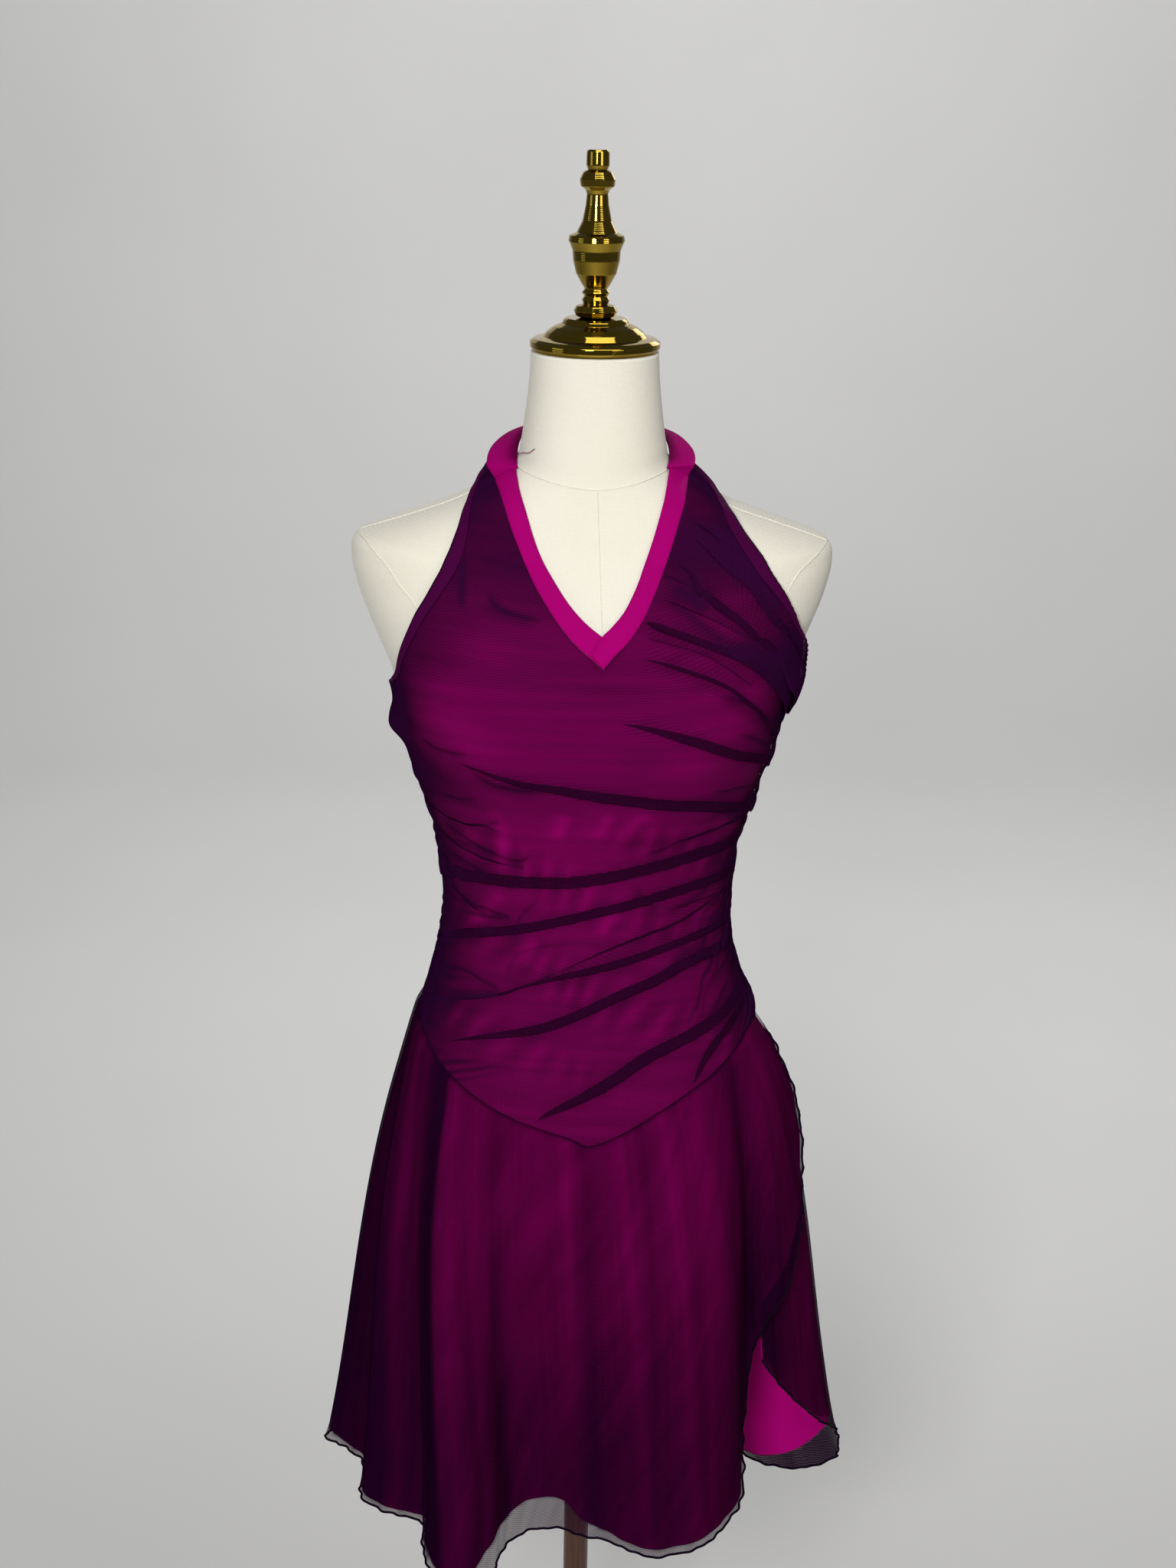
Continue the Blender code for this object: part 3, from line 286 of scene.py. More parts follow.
# Creases and light streaks of the outer layer: how much denser it lies, and places girth, level. A crease is
# a sharp line of denser mesh with a painted shadow along its lower side; a light streak has a negative
# amount and is a painted highlight.
CREASES_AND_PAINTED_HIGHLIGHTS = (
    (0.40, ((0.39, 1.280), (0.46, 1.268), (0.51, 1.258))),
    (0.35, ((0.33, 1.268), (0.41, 1.260), (0.48, 1.248), (0.57, 1.233), (0.63, 1.224))),
    (0.50, ((0.54, 1.238), (0.62, 1.229), (0.70, 1.216), (0.78, 1.204))),
    (0.40, ((0.47, 1.205), (0.55, 1.198), (0.64, 1.184), (0.72, 1.168))),
    (0.40, ((0.55, 1.176), (0.65, 1.166), (0.81, 1.149))),
    (0.50, ((0.48, 1.128), (0.63, 1.126), (0.76, 1.121))),
    (0.45, ((0.27, 1.075), (0.36, 1.080), (0.47, 1.088), (0.58, 1.097))),
    (0.30, ((0.35, 1.065), (0.49, 1.068), (0.62, 1.076), (0.74, 1.080))),
    (0.30, ((0.27, 1.049), (0.31, 1.035), (0.40, 1.022))),
    (0.40, ((0.11, 0.990), (0.28, 1.001), (0.45, 1.006), (0.63, 1.017))),
    (0.35, ((0.42, 1.023), (0.56, 1.030), (0.67, 1.036))),
    (0.40, ((0.57, 0.996), (0.68, 1.002), (0.80, 1.007), (0.95, 1.013))),
    (0.40, ((0.62, 0.970), (0.72, 0.980), (0.86, 0.990))),
    (0.45, ((0.64, 0.947), (0.74, 0.960), (0.88, 0.970), (0.99, 0.977))),
    (0.35, ((0.50, 0.974), (0.60, 0.982), (0.70, 0.994))),
    (0.30, ((0.39, 0.970), (0.51, 0.980), (0.61, 0.988))),
    (0.40, ((0.70, 0.928), (0.78, 0.938), (0.91, 0.947))),
    (0.35, ((0.59, 0.925), (0.68, 0.936), (0.78, 0.948))),
    (0.45, ((0.68, 1.054), (0.81, 1.052), (0.92, 1.055))),
    (0.40, ((0.64, 1.026), (0.74, 1.030), (0.94, 1.028))),
    (0.40, ((0.63, 1.100), (0.71, 1.096), (0.83, 1.092))),
    (0.40, ((-0.48, 1.269), (-0.43, 1.261), (-0.35, 1.258), (-0.24, 1.257))),
    (0.30, ((-0.61, 1.296), (-0.57, 1.272), (-0.54, 1.254))),
    (0.45, ((-0.47, 1.146), (-0.38, 1.138), (-0.28, 1.134), (-0.17, 1.132))),
    (0.40, ((-0.66, 1.097), (-0.49, 1.096), (-0.38, 1.092))),
    (0.50, ((-0.69, 1.090), (-0.60, 1.082), (-0.47, 1.073), (-0.34, 1.068), (-0.28, 1.074))),
    (0.35, ((-0.73, 1.063), (-0.62, 1.056), (-0.48, 1.052))),
    (0.45, ((-0.76, 1.032), (-0.61, 1.021), (-0.47, 1.015), (-0.40, 1.014))),
    (0.35, ((-0.84, 0.971), (-0.68, 0.987), (-0.55, 0.996))),
    (0.35, ((-1.04, 0.935), (-0.69, 0.959), (-0.52, 0.956), (-0.42, 0.952))),
    (0.45, ((-0.84, 0.920), (-0.62, 0.938), (-0.44, 0.952))),
    (0.40, ((-0.69, 1.164), (-0.56, 1.159), (-0.44, 1.160))),
    (0.30, ((-0.66, 1.116), (-0.56, 1.116), (-0.45, 1.122))),
    (0.25, ((-0.41, 0.992), (-0.38, 1.012), (-0.27, 1.034))),
    (0.20, ((-0.42, 0.956), (-0.40, 0.977), (-0.31, 0.988), (-0.07, 0.996))),
    (-0.30, ((0.01, 1.088), (0.07, 1.102), (0.10, 1.116))),
    (-0.30, ((-0.17, 1.087), (-0.12, 1.104), (-0.10, 1.115))),
    (-0.28, ((0.07, 1.000), (0.15, 1.016), (0.31, 1.025))),
    (-0.25, ((-0.34, 0.972), (-0.31, 0.988), (-0.26, 0.995))),
    (-0.25, ((0.18, 1.095), (0.22, 1.108), (0.28, 1.113))),
    (-0.20, ((0.31, 0.978), (0.43, 0.988), (0.49, 0.992))),
    (-0.25, ((-0.64, 0.994), (-0.53, 1.021), (-0.44, 1.037))),
    (-0.25, ((-0.39, 1.116), (-0.39, 1.082), (-0.45, 1.054))),
    (-0.20, ((0.15, 0.952), (0.23, 0.960), (0.38, 0.962))),
)
# Where the outer layer lies densely, or thinly where negative: girth, level, both spreads, amount. The thin
# spots on the bust and the belly are painted highlights, the thick spot under the left bust is painted
# shade, and the other thick spots are gathered mesh with painted shade in them.
BUNCHED_AND_PAINTED_LIGHT_SPOTS = (
    (-0.66, 1.132, 0.20, 0.020, 0.40), (-0.95, 1.160, 0.16, 0.045, 0.35), (0.95, 1.190, 0.16, 0.050, 0.45),
    (0.78, 1.215, 0.14, 0.030, 0.25), (-0.58, 1.197, 0.15, 0.024, -0.26), (-0.44, 1.163, 0.14, 0.022, -0.20),
    (0.60, 1.196, 0.14, 0.022, -0.24), (0.40, 1.160, 0.16, 0.022, -0.20), (-0.35, 1.290, 0.24, 0.030, 0.18),
    (0.55, 1.305, 0.16, 0.030, 0.25), (0.03, 1.215, 0.26, 0.022, 0.10), (-0.10, 1.060, 0.40, 0.060, -0.16),
    (-0.70, 0.920, 0.20, 0.030, 0.20), (0.10, 1.100, 0.35, 0.020, -0.08),
    (-0.62, 1.228, 0.14, 0.035, 0.32), (-0.82, 1.192, 0.12, 0.028, 0.45), (-0.26, 1.228, 0.15, 0.018, 0.14),
    (0.86, 1.192, 0.10, 0.020, 0.30), (0.90, 1.120, 0.10, 0.022, 0.40), (0.68, 1.058, 0.08, 0.016, 0.30),
    (-0.62, 1.050, 0.16, 0.030, 0.14),
)
# Fine gathers at the right side seam: pitch, height, and the girth where they start
GATHER_PITCH, GATHER_HEIGHT, GATHER_START_GIRTH = 0.0075, 0.0017, 0.66

# Skirt hems anticlockwise from above, from the back panel's near edge in the slit.
# seam_girth, hem_x, hem_y, hem_height, lining_shorter_by
SKIRT_BACK = (
    (-3.00, 0.1560, -0.060, 0.602, 0.003),
    (-2.93, 0.1690, -0.059, 0.582, 0.003),
    (-2.87, 0.1850, -0.052, 0.558, 0.003),
    (-2.81, 0.2010, -0.041, 0.537, 0.004),
    (-2.75, 0.2150, -0.028, 0.518, 0.007),
    (-2.70, 0.2260, -0.012, 0.500, 0.022),
    (-2.65, 0.2320, 0.003, 0.467, 0.034),
    (-2.60, 0.2290, 0.013, 0.451, 0.032),
    (-2.54, 0.2080, 0.015, 0.442, 0.022),
    (-2.47, 0.1800, 0.017, 0.441, 0.012),
    (-2.40, 0.1560, 0.026, 0.444, 0.007),
    (-2.33, 0.1430, 0.048, 0.440, 0.010),
    (-2.26, 0.1450, 0.080, 0.446, 0.012),
    (-2.19, 0.1420, 0.110, 0.452, 0.012),
    (-2.12, 0.1220, 0.124, 0.456, 0.012),
    (-2.05, 0.1000, 0.141, 0.455, 0.012),
    (-1.98, 0.0840, 0.168, 0.454, 0.012),
    (-1.91, 0.0580, 0.175, 0.454, 0.012),
    (-1.84, 0.0320, 0.154, 0.455, 0.012),
    (-1.77, 0.0020, 0.150, 0.456, 0.012),
    (-1.70, -0.0240, 0.171, 0.454, 0.012),
    (-1.63, -0.0520, 0.176, 0.454, 0.012),
    (-1.56, -0.0740, 0.157, 0.455, 0.012),
    (-1.49, -0.0980, 0.138, 0.456, 0.012),
    (-1.42, -0.1250, 0.147, 0.455, 0.012),
    (-1.35, -0.1490, 0.133, 0.455, 0.012),
    (-1.28, -0.1560, 0.104, 0.457, 0.012),
    (-1.21, -0.1720, 0.082, 0.458, 0.012),
    (-1.15, -0.1970, 0.074, 0.459, 0.014),
    (-1.10, -0.2110, 0.052, 0.463, 0.018),
    (-1.05, -0.2160, 0.024, 0.470, 0.016),
)
SKIRT_FRONT = (
    (-1.00, -0.2230, -0.002, 0.478, 0.011),
    (-0.96, -0.2070, -0.022, 0.484, 0.004),
    (-0.92, -0.1890, -0.042, 0.485, 0.004),
    (-0.88, -0.1850, -0.070, 0.481, 0.004),
    (-0.84, -0.1810, -0.094, 0.483, 0.004),
    (-0.80, -0.1650, -0.112, 0.482, 0.004),
    (-0.76, -0.1430, -0.122, 0.482, 0.004),
    (-0.72, -0.1280, -0.131, 0.481, 0.005),
    (-0.67, -0.1230, -0.165, 0.477, 0.006),
    (-0.62, -0.1090, -0.197, 0.473, 0.010),
    (-0.57, -0.0900, -0.203, 0.472, 0.012),
    (-0.51, -0.0745, -0.185, 0.475, 0.020),
    (-0.43, -0.0600, -0.155, 0.480, 0.022),
    (-0.33, -0.0400, -0.137, 0.482, 0.027),
    (-0.19, -0.0120, -0.134, 0.483, 0.027),
    (-0.05, 0.0130, -0.143, 0.482, 0.012),
    (0.09, 0.0370, -0.154, 0.480, 0.006),
    (0.23, 0.0620, -0.163, 0.479, 0.006),
    (0.36, 0.0870, -0.160, 0.479, 0.006),
    (0.46, 0.1090, -0.144, 0.480, 0.005),
    (0.53, 0.1270, -0.122, 0.485, 0.0035),
    (0.58, 0.1380, -0.098, 0.497, 0.0015),
    (0.63, 0.1400, -0.080, 0.525, 0.0015),
    (0.67, 0.1430, -0.072, 0.570, 0.006),
    (0.71, 0.1490, -0.070, 0.615, 0.016),
    (0.75, 0.1600, -0.066, 0.648, 0.019),
    (0.79, 0.1730, -0.056, 0.668, 0.018),
    (0.83, 0.1820, -0.042, 0.695, 0.012),
    (0.87, 0.1865, -0.024, 0.735, 0.005),
    (0.91, 0.1860, -0.010, 0.785, 0.003),
    (0.95, 0.1770, -0.003, 0.830, 0.0025),
    (0.98, 0.1640, -0.001, 0.864, 0.0015),
    (1.00, 0.1520, 0.000, 0.884, 0.002),
)
LEFT_SEAM_PLACE = len(SKIRT_BACK)
LAST_PLACE = len(SKIRT_BACK) + len(SKIRT_FRONT) - 1
# Ease over the hips, and the power and width of the bend at the slit's edge
HIP_EASE, SLIT_EDGE_BEND, SLIT_EDGE_COLUMNS = 0.012, 1.6, 6.0
# Soft folds of the hanging skirt: place at the seam and at the hem, width on either side in
# places, height at the seam and at the hem
SKIRT_FOLDS = (
    (39.8, 40.4, 0.55, 1.10, 0.0062, 0.0062), (43.0, 42.4, 0.70, 0.30, 0.0036, 0.0036),
    (45.9, 45.7, 0.55, 0.45, 0.0032, 0.0032), (47.7, 48.3, 0.60, 0.45, 0.0042, 0.0042),
    (49.0, 49.6, 0.35, 0.55, 0.0034, 0.0034), (51.2, 51.4, 0.70, 0.70, 0.0040, 0.0040),
    (43.9, 43.4, 0.35, 0.60, -0.0030, -0.0030), (46.6, 46.6, 0.30, 0.50, -0.0036, -0.0036),
    (54.3, 55.0, 0.80, 0.28, -0.0080, -0.0080), (34.6, 35.4, 0.50, 0.45, 0.0035, 0.0035),
    (36.8, 37.2, 0.60, 0.60, -0.0040, -0.0040), (33.4, 33.6, 0.45, 0.45, -0.0030, -0.0030),
    (5.0, 5.4, 0.70, 0.70, 0.0030, 0.0030), (8.0, 8.6, 0.80, 0.80, -0.0030, -0.0030),
    (56.6, 57.2, 0.70, 0.60, 0.0025, 0.0025),
)
# Where the skirt's outer layer lies densely or thinly: place at the seam and at the hem, width
# on either side, amount at the seam and at the hem. Positive rows are doubled mesh in the deep
# folds with painted shade in their valleys; negative rows are painted highlights on the crests.
SKIRT_BUNCHES_AND_PAINTED_LIGHT = (
    (33.2, 34.0, 2.60, 1.20, 0.62, 0.16), (35.2, 35.6, 0.55, 0.45, 0.30, 0.42),
    (36.9, 37.0, 0.50, 0.50, 0.20, 0.05), (39.8, 39.9, 1.70, 0.16, 0.90, 0.50),
    (43.3, 42.9, 0.28, 0.42, 0.14, 0.26), (44.9, 44.6, 0.25, 0.20, -0.06, 0.04),
    (45.8, 45.4, 0.30, 0.20, -0.22, -0.10), (46.5, 46.2, 0.35, 0.35, 0.12, 0.32),
    (47.6, 48.0, 0.30, 0.20, -0.18, -0.08), (48.4, 48.2, 0.16, 0.16, 0.14, 0.10),
    (49.1, 49.6, 0.25, 0.30, -0.22, -0.16), (50.6, 50.4, 0.60, 0.60, -0.08, -0.16),
    (42.4, 41.8, 0.40, 0.25, -0.10, 0.00), (40.7, 40.7, 0.20, 0.30, -0.12, -0.05),
    (54.0, 55.0, 1.30, 0.70, 0.32, 0.42), (59.6, 59.6, 0.80, 0.80, -0.08, -0.08),
    (30.9, 30.9, 0.80, 0.90, 0.50, 0.45), (57.7, 57.9, 0.90, 0.90, -0.20, -0.24),
    (6.0, 6.2, 1.30, 1.80, 0.34, 0.05), (8.6, 8.8, 0.30, 0.30, 0.60, 0.50),
    (10.5, 10.6, 0.80, 1.00, 0.60, 0.40), (0.4, 0.3, 1.20, 1.00, 0.40, 0.30),
    (3.2, 3.0, 1.10, 1.30, -0.15, -0.26),
)
# More ease of the back panel at the right hip: amount, girth and spread
RIGHT_FLARE_EASE, RIGHT_FLARE_GIRTH, RIGHT_FLARE_SPREAD = 0.015, -2.65, 0.17
# How far off the hips the skirt stays
SKIRT_OFF_FORM = 0.0034

# Turned pieces, radius and height from the top down
FINIAL_PROFILE = (
    (0.0000, 1.6013), (0.0070, 1.6013), (0.0086, 1.5998), (0.0088, 1.5900), (0.0076, 1.5868),
    (0.0108, 1.5850), (0.0136, 1.5795), (0.0128, 1.5745), (0.0092, 1.5718), (0.0081, 1.5690),
    (0.0088, 1.5610), (0.0112, 1.5490), (0.0155, 1.5405), (0.0208, 1.5385), (0.0216, 1.5345),
    (0.0198, 1.5305), (0.0184, 1.5270), (0.0180, 1.5200), (0.0155, 1.5100), (0.0110, 1.5020),
    (0.0087, 1.4985), (0.0108, 1.4958), (0.0090, 1.4930), (0.0108, 1.4902), (0.0096, 1.4874),
    (0.0148, 1.4858), (0.0168, 1.4820), (0.0152, 1.4782), (0.0120, 1.4769), (0.0000, 1.4769),
)
NECK_CAP_PROFILE = (
    (0.0000, 1.4766), (0.0225, 1.4766), (0.0245, 1.4752), (0.0258, 1.4725), (0.0320, 1.4700),
    (0.0372, 1.4662), (0.0400, 1.4625), (0.0470, 1.4612), (0.0503, 1.4590), (0.0503, 1.4548),
    (0.0490, 1.4535), (0.0488, 1.4520), (0.0000, 1.4520),
)
BASE_PROFILE = (
    (0.000, 0.0263), (0.024, 0.0263), (0.034, 0.0220), (0.100, 0.0212), (0.150, 0.0200),
    (0.161, 0.0160), (0.165, 0.0100), (0.165, 0.0030), (0.162, 0.0000), (0.000, 0.0000),
)
POLE_PROFILE = (
    (0.000, 0.6997), (0.0110, 0.6997), (0.0110, 0.3600), (0.0110, 0.0263), (0.000, 0.0263),
)
# Where the strap ends stand off the hollow of the neck, and the cloth bridges the underarm
STRAP_LIFT, STRAP_LIFT_LEVELS, STRAP_LIFT_GIRTHS = 0.0080, (1.322, 1.346), (0.74, 1.10)
BRIDGE_HEIGHT, BRIDGE_LEVEL, BRIDGE_SPREAD, BRIDGE_GIRTHS = 0.0018, 1.196, 0.013, (0.50, 0.72)
# Overlaps from which a pleat stacks to its full height, and below which it is a fine one
FULL_PLEAT, FINE_PLEAT = 0.008, 0.003
# Share of a pleat's height that stays where the panel is sewn, and how far up that reaches
PINNED_STACK, WAIST_PIN = 0.25, 0.012
PRESSED_SHARE, PRESSED_GIRTHS = 0.65, (0.78, 0.98)
# Cloth dips into its seams: depth at the waist and at the neck, and how fast it comes out again
WAIST_TUCK, NECK_TUCK, TUCK_REACH = 0.0009, 0.0008, 0.0012
FAN_LEVEL, FAN_SPREAD, FAN_WANDER = 1.075, 1.1, 0.0016
SCALLOP_PITCH, SCALLOP_HEIGHT, SCALLOP_REACH, SCALLOP_SLANT = 0.0046, 0.0009, 0.011, 0.35
LEFT_CREASE_PITCH, LEFT_CREASE_HEIGHT, LEFT_CREASE_LEVEL = 0.0125, 0.0013, 1.06
CREASE_RIDGE, BELLY_CREASE_PITCH, BELLY_CREASE_HEIGHT, BELLY_CREASE_SLANT = 0.0028, 0.023, 0.0010, 0.42
MESH_RIPPLE, BACK_RIPPLE = 0.00022, 0.0003
# Cup edges of the lining: girths of the middles, their level, half width, half height, and the step
CUPS, CUP_LEVEL, CUP_HALF_WIDTH, CUP_HALF_HEIGHT, CUP_STEP = (-0.60, 0.33), 1.180, 0.040, 0.048, 0.0005
# Skirt layers off their own surface, soft waves, and the flutter of the last of the mesh
SKIRT_LINING_OUT, SKIRT_MESH_OUT, SKIRT_SOFT_WAVE = 0.0010, 0.0030, 0.0008
HEM_FLUTTER, HEM_FLUTTER_PITCH, HEM_FLUTTER_FINE_PITCH = 0.0009, 0.021, 0.0123
SKIRT_CONTACT = 0.0015
# Back panel: columns, rows, and how deep its top edge turns in at the side seams
BACK_COLUMNS, BACK_ROWS, BACK_EDGE_TUCK = 123, 241, 0.0035
# Neck bands off the form, and how far the bands and the strap run on under their neighbours
BAND_OFF_FORM, BAND_OVERRUN, STRAP_OVERRUN = 0.0018, 0.0030, 0.002
# Joint of strap and band: the band's row that it starts on, its rise, rows, and fade of the shadow
JOINT_ROW, JOINT_RISE, JOINT_STEPS, JOINT_FADE = -8, 0.0005, 8, (6, 26)
# Armhole edges, left and right: width, and share of it lost towards the strap
ARMHOLE_EDGES = (("armhole_edge_left", -1, 0.0076, 0.45), ("armhole_edge_right", 1, 0.0068, 0.70))
ARMHOLE_START, ARMHOLE_NARROW_LEVELS, ARMHOLE_COLUMNS = 0.004, (1.22, 1.31), 9
ARMHOLE_WALL, ARMHOLE_PLUMP, ARMHOLE_OFF_MESH, ARMHOLE_TURN = 0.0004, 0.0004, 0.0005, 0.0010
ARMHOLE_SINK, ARMHOLE_SINK_REACH, ROLL_UNDER_MESH, STITCH_OFF_MESH = 0.0030, 0.014, 0.0002, 0.0010
# Radii of the threads, seams and rolls
FORM_SEAM_RADIUS, BACK_ROLL_RADIUS, ARM_ROLL_RADIUS = 0.0005, 0.0009, 0.0007
HEM_RADIUS, LINING_HEM_RADIUS, THREAD_RADIUS = 0.0010, 0.00045, 0.0003
STITCH_RADIUS, STITCH_GAP = 0.00019, 0.0007
# Grids of the front panel: columns of a half, rows below the V and beside it
LINING_GRID, MESH_GRID = (60, 140, 50), (104, 320, 100)
SKIRT_COLUMNS, SKIRT_LINING_ROWS, SKIRT_MESH_ROWS = 420, 70, 110
BAND_SAMPLES, BAND_STEPS = 180, 28
# Turned pieces: steps round the axis, points along the profile and width of the softened edge
TURNED_STEPS, BRASS_TURNED, WOOD_TURNED = 96, (160, 0.0003), (40, 0.0008)
# A band texture at scale 1 repeats every so many metres; the net's threads are this far apart
BANDS_AT_SCALE_1, NET_PITCH = 0.314159, 0.0017
CAMERA_AIM_HEIGHT, CAMERA_SENSOR, CAMERA_LENS = 1.10, 36.0, 54.1


def read_table(table, key):
    """Every column of a table at the given keys: a cubic through its rows."""
    rows = np.asarray(table, float)
    keys = rows[:, 0]
    slopes = np.gradient(rows, keys, axis=0)
    key = np.clip(np.asarray(key, float), keys[0], keys[-1])
    low = np.clip(np.searchsorted(keys, key, side="right") - 1, 0, len(keys) - 2)
    span = (keys[low + 1] - keys[low])[..., None]
    part = (key - keys[low])[..., None] / span
    start = (1 + 2 * part) * (1 - part) ** 2 * rows[low]
    start_slope = part * (1 - part) ** 2 * span * slopes[low]
    end = part**2 * (3 - 2 * part) * rows[low + 1]
    end_slope = part**2 * (part - 1) * span * slopes[low + 1]
    return start + start_slope + end + end_slope


def read_rows(table, place):
    """Every column of a table at places counted in rows from its first row."""
    rows = np.asarray(table, float)
    return read_table(np.column_stack([np.arange(len(rows)), rows]), place)[..., 1:]


def all_rows(table, samples):
    """Every column of a table at that many places, evenly from its first row to its last."""
    return read_rows(table, np.linspace(0, len(table) - 1, samples))


def ramp(value, low, high):
    """A smooth rise from 0 at low to 1 at high."""
    part = np.clip((value - low) / (high - low), 0.0, 1.0)
    return part * part * (3 - 2 * part)


def bell(away, spread, power=2):
    """1 in the middle, falling as e to the minus square (or higher power) of the spreads away."""
    return np.exp(-((away / spread) ** power))


def path_length(points):
    """Length from the first point of a path to each of its points."""
    return np.concatenate([[0], np.cumsum(np.linalg.norm(np.diff(points, axis=0), axis=-1))])


def unit(vectors):
    """Vectors at length 1."""
    return vectors / np.linalg.norm(vectors, axis=-1, keepdims=True)


def form_surface(girth, level):
    """A rounded-square polar ring for each level, its sides, front and back at their own heights.

    The ring's radius at an angle is the power mean of half width and depth along it, and the
    bust adds a bell on either side.
    """
    angle = np.radians(-90 + 90 * girth)
    across, along = np.cos(angle), np.sin(angle)
    section = read_table(FORM_SECTIONS, level)
    front_level, side_level, back_level = section[..., 0], section[..., 1], section[..., 2]
    in_front = along < 0
    depth = np.where(in_front, section[..., 4], section[..., 5])
    ring = (np.abs(across) / section[..., 3]) ** RING_SQUARENESS
    ring = ring + (np.abs(along) / depth) ** RING_SQUARENESS
    radius = ring ** (-1 / RING_SQUARENESS)
    near_bust = BUST_RISE * bell(level - BUST_LEVEL, BUST_LEVEL_SPREAD)
    for side in (-1, 1):
        radius = radius + near_bust * bell(girth - side * BUST_GIRTH, BUST_GIRTH_SPREAD)
    end_level = np.where(in_front, front_level, back_level)
    height = end_level + (side_level - end_level) * across**2
    return np.stack([radius * across, radius * along, height], axis=-1)


def raised(surface, first, second, distance, flip=1.0):
    """Points moved out along the surface's normal, the cross product of its two slopes."""
    step = 1e-4
    point = surface(first, second)
    first_slope = surface(first + step, second) - surface(first - step, second)
    second_slope = surface(first, second + step) - surface(first, second - step)
    normal = np.cross(first_slope, second_slope)
    normal = flip * normal / np.linalg.norm(normal, axis=-1, keepdims=True)
    return point + normal * np.broadcast_to(distance, point.shape[:-1])[..., None]


def strap_lift(girth, level):
    """How far the strap ends stand off the hollow between neck and shoulder: two rises multiplied."""
    return STRAP_LIFT * ramp(level, *STRAP_LIFT_LEVELS) * ramp(np.abs(girth), *STRAP_LIFT_GIRTHS)


def underarm_bridge(girth, level):
    """The cloth bridges the form's hollow below each armhole: a bell by level, a rise by girth."""
    return BRIDGE_HEIGHT * bell(level - BRIDGE_LEVEL, BRIDGE_SPREAD) * ramp(np.abs(girth), *BRIDGE_GIRTHS)


def near_curve(places, girth, level, samples=80):
    """Signed distance from a smooth curve in the flat cloth, share of its length, and its normal.

    The nearest of many samples of the cubic through the places gives a tangent; the distance is
    measured square to it, above the curve is positive, and the share is corrected along it.
    """
    curve = all_rows(places, samples) * (GIRTH_LENGTH, 1.0)
    step = np.gradient(curve, axis=0)
    length = np.linalg.norm(step, axis=1)
    tangent = step / length[:, None]
    spot = np.stack([girth.ravel() * GIRTH_LENGTH, level.ravel()], axis=-1)
    apart = (spot**2).sum(1)[:, None] + (curve**2).sum(1) - 2 * spot @ curve.T
    nearest = apart.argmin(axis=1)
    way = spot - curve[nearest]
    along = (way * tangent[nearest]).sum(1)
    normal = np.stack([-tangent[nearest, 1], tangent[nearest, 0]], axis=-1)
    across = (way * normal).sum(1)
    share = (nearest + along / length[nearest]) / (samples - 1)
    shape = girth.shape
    return across.reshape(shape), share.reshape(shape), normal.reshape(*shape, 2)


def pleat_shift(girth, level):
    """Pleats laid over downwards: how far each point of the cloth shifts, and how high it lies.

    Across a pleat the cloth's own distance x, in half scales, lands at x - r x exp(-x^2), so
    with r over 1 it turns back on itself, while its height climbs once from the under layer
    to the top layer and sinks again above the pleat. 0.57 and 0.823 fit r to the overlap.
    """
    shift, height = np.zeros((*level.shape, 2)), np.zeros(level.shape)
    for overlap, fade_in, kept, places in PLEATS:
        across, share, normal = near_curve(places, girth, level)
        fade = ramp(share, 0.0, fade_in) * (1 - (1 - kept) * ramp(share, 0.75, 1.0))
        fade = np.where((share < 0) | (share > 1.02), 0.0, fade)
        turn = 1 + (overlap * fade / (0.57 * PLEAT_HALF_SCALE)) ** 0.823
        turn = turn * ramp(fade, 0.0, 0.2)
        x = across / PLEAT_HALF_SCALE
        shift -= (PLEAT_HALF_SCALE * turn * x * np.exp(-(x**2)))[..., None] * normal
        stack = ramp(x, -0.7, 0.7) * (1 - ramp(x, 1.5, 3.2))
        depth = PLEAT_STACK * (0.45 + 0.55 * min(overlap / FULL_PLEAT, 1.0))
        height += depth * ramp(fade, 0.0, 0.5) * stack
    return shift, height


def wrinkle_height(girth, level, wrinkles=WRINKLES):
    """Soft ridges: a bell across each, faded at both ends."""
    total = np.zeros(level.shape)
    for width, height, places in wrinkles:
        across, share, _ = near_curve(places, girth, level)
        faded = height * ramp(share, 0.0, 0.3) * (1 - ramp(share, 0.7, 1.0))
        total += faded * bell(across, width)
    return total


def side_fan(girth, level):
    """Crests of the fine gathers that fan out from the right side seam, and how strong they are.

    The crest is 1 less a power of a sine of the fan's own level, which slopes more the further
    it is from the level where the fan runs straight; slower sines vary pitch, strength and reach.
    """
    slope = 0.02 + (FAN_LEVEL - level) * FAN_SPREAD
    fan = level - slope * (girth - 1) + FAN_WANDER * np.sin(31 * girth + 90 * level)
    phase = 2 * np.pi * fan / GATHER_PITCH + 1.6 * np.sin(41 * fan) + 1.1 * np.sin(97 * fan + 1)
    crest = 1 - (0.5 - 0.5 * np.sin(phase)) ** 2.5
    strength = 0.6 + 0.4 * np.sin(67 * fan + 2)
    reach = GATHER_START_GIRTH + 0.16 * np.sin(210 * fan) + 0.12 * np.sin(90 * fan + 1)
    return crest, strength * ramp(girth, reach, reach + 0.22) * (1 - ramp(level, 1.165, 1.200))


def arm_scallops(girth, level, to_armhole):
    """Small gathers along the lower right armhole: a slanting sine times a bell off its edge."""
    slanted = level - SCALLOP_SLANT * GIRTH_LENGTH * girth
    wave = 0.5 + 0.5 * np.sin(2 * np.pi * slanted / SCALLOP_PITCH + np.sin(300 * level))
    near = bell(to_armhole, SCALLOP_REACH) * ramp(girth, 0.6, 0.7)
    return wave * near * ramp(level, 1.190, 1.205) * (1 - ramp(level, 1.270, 1.300))


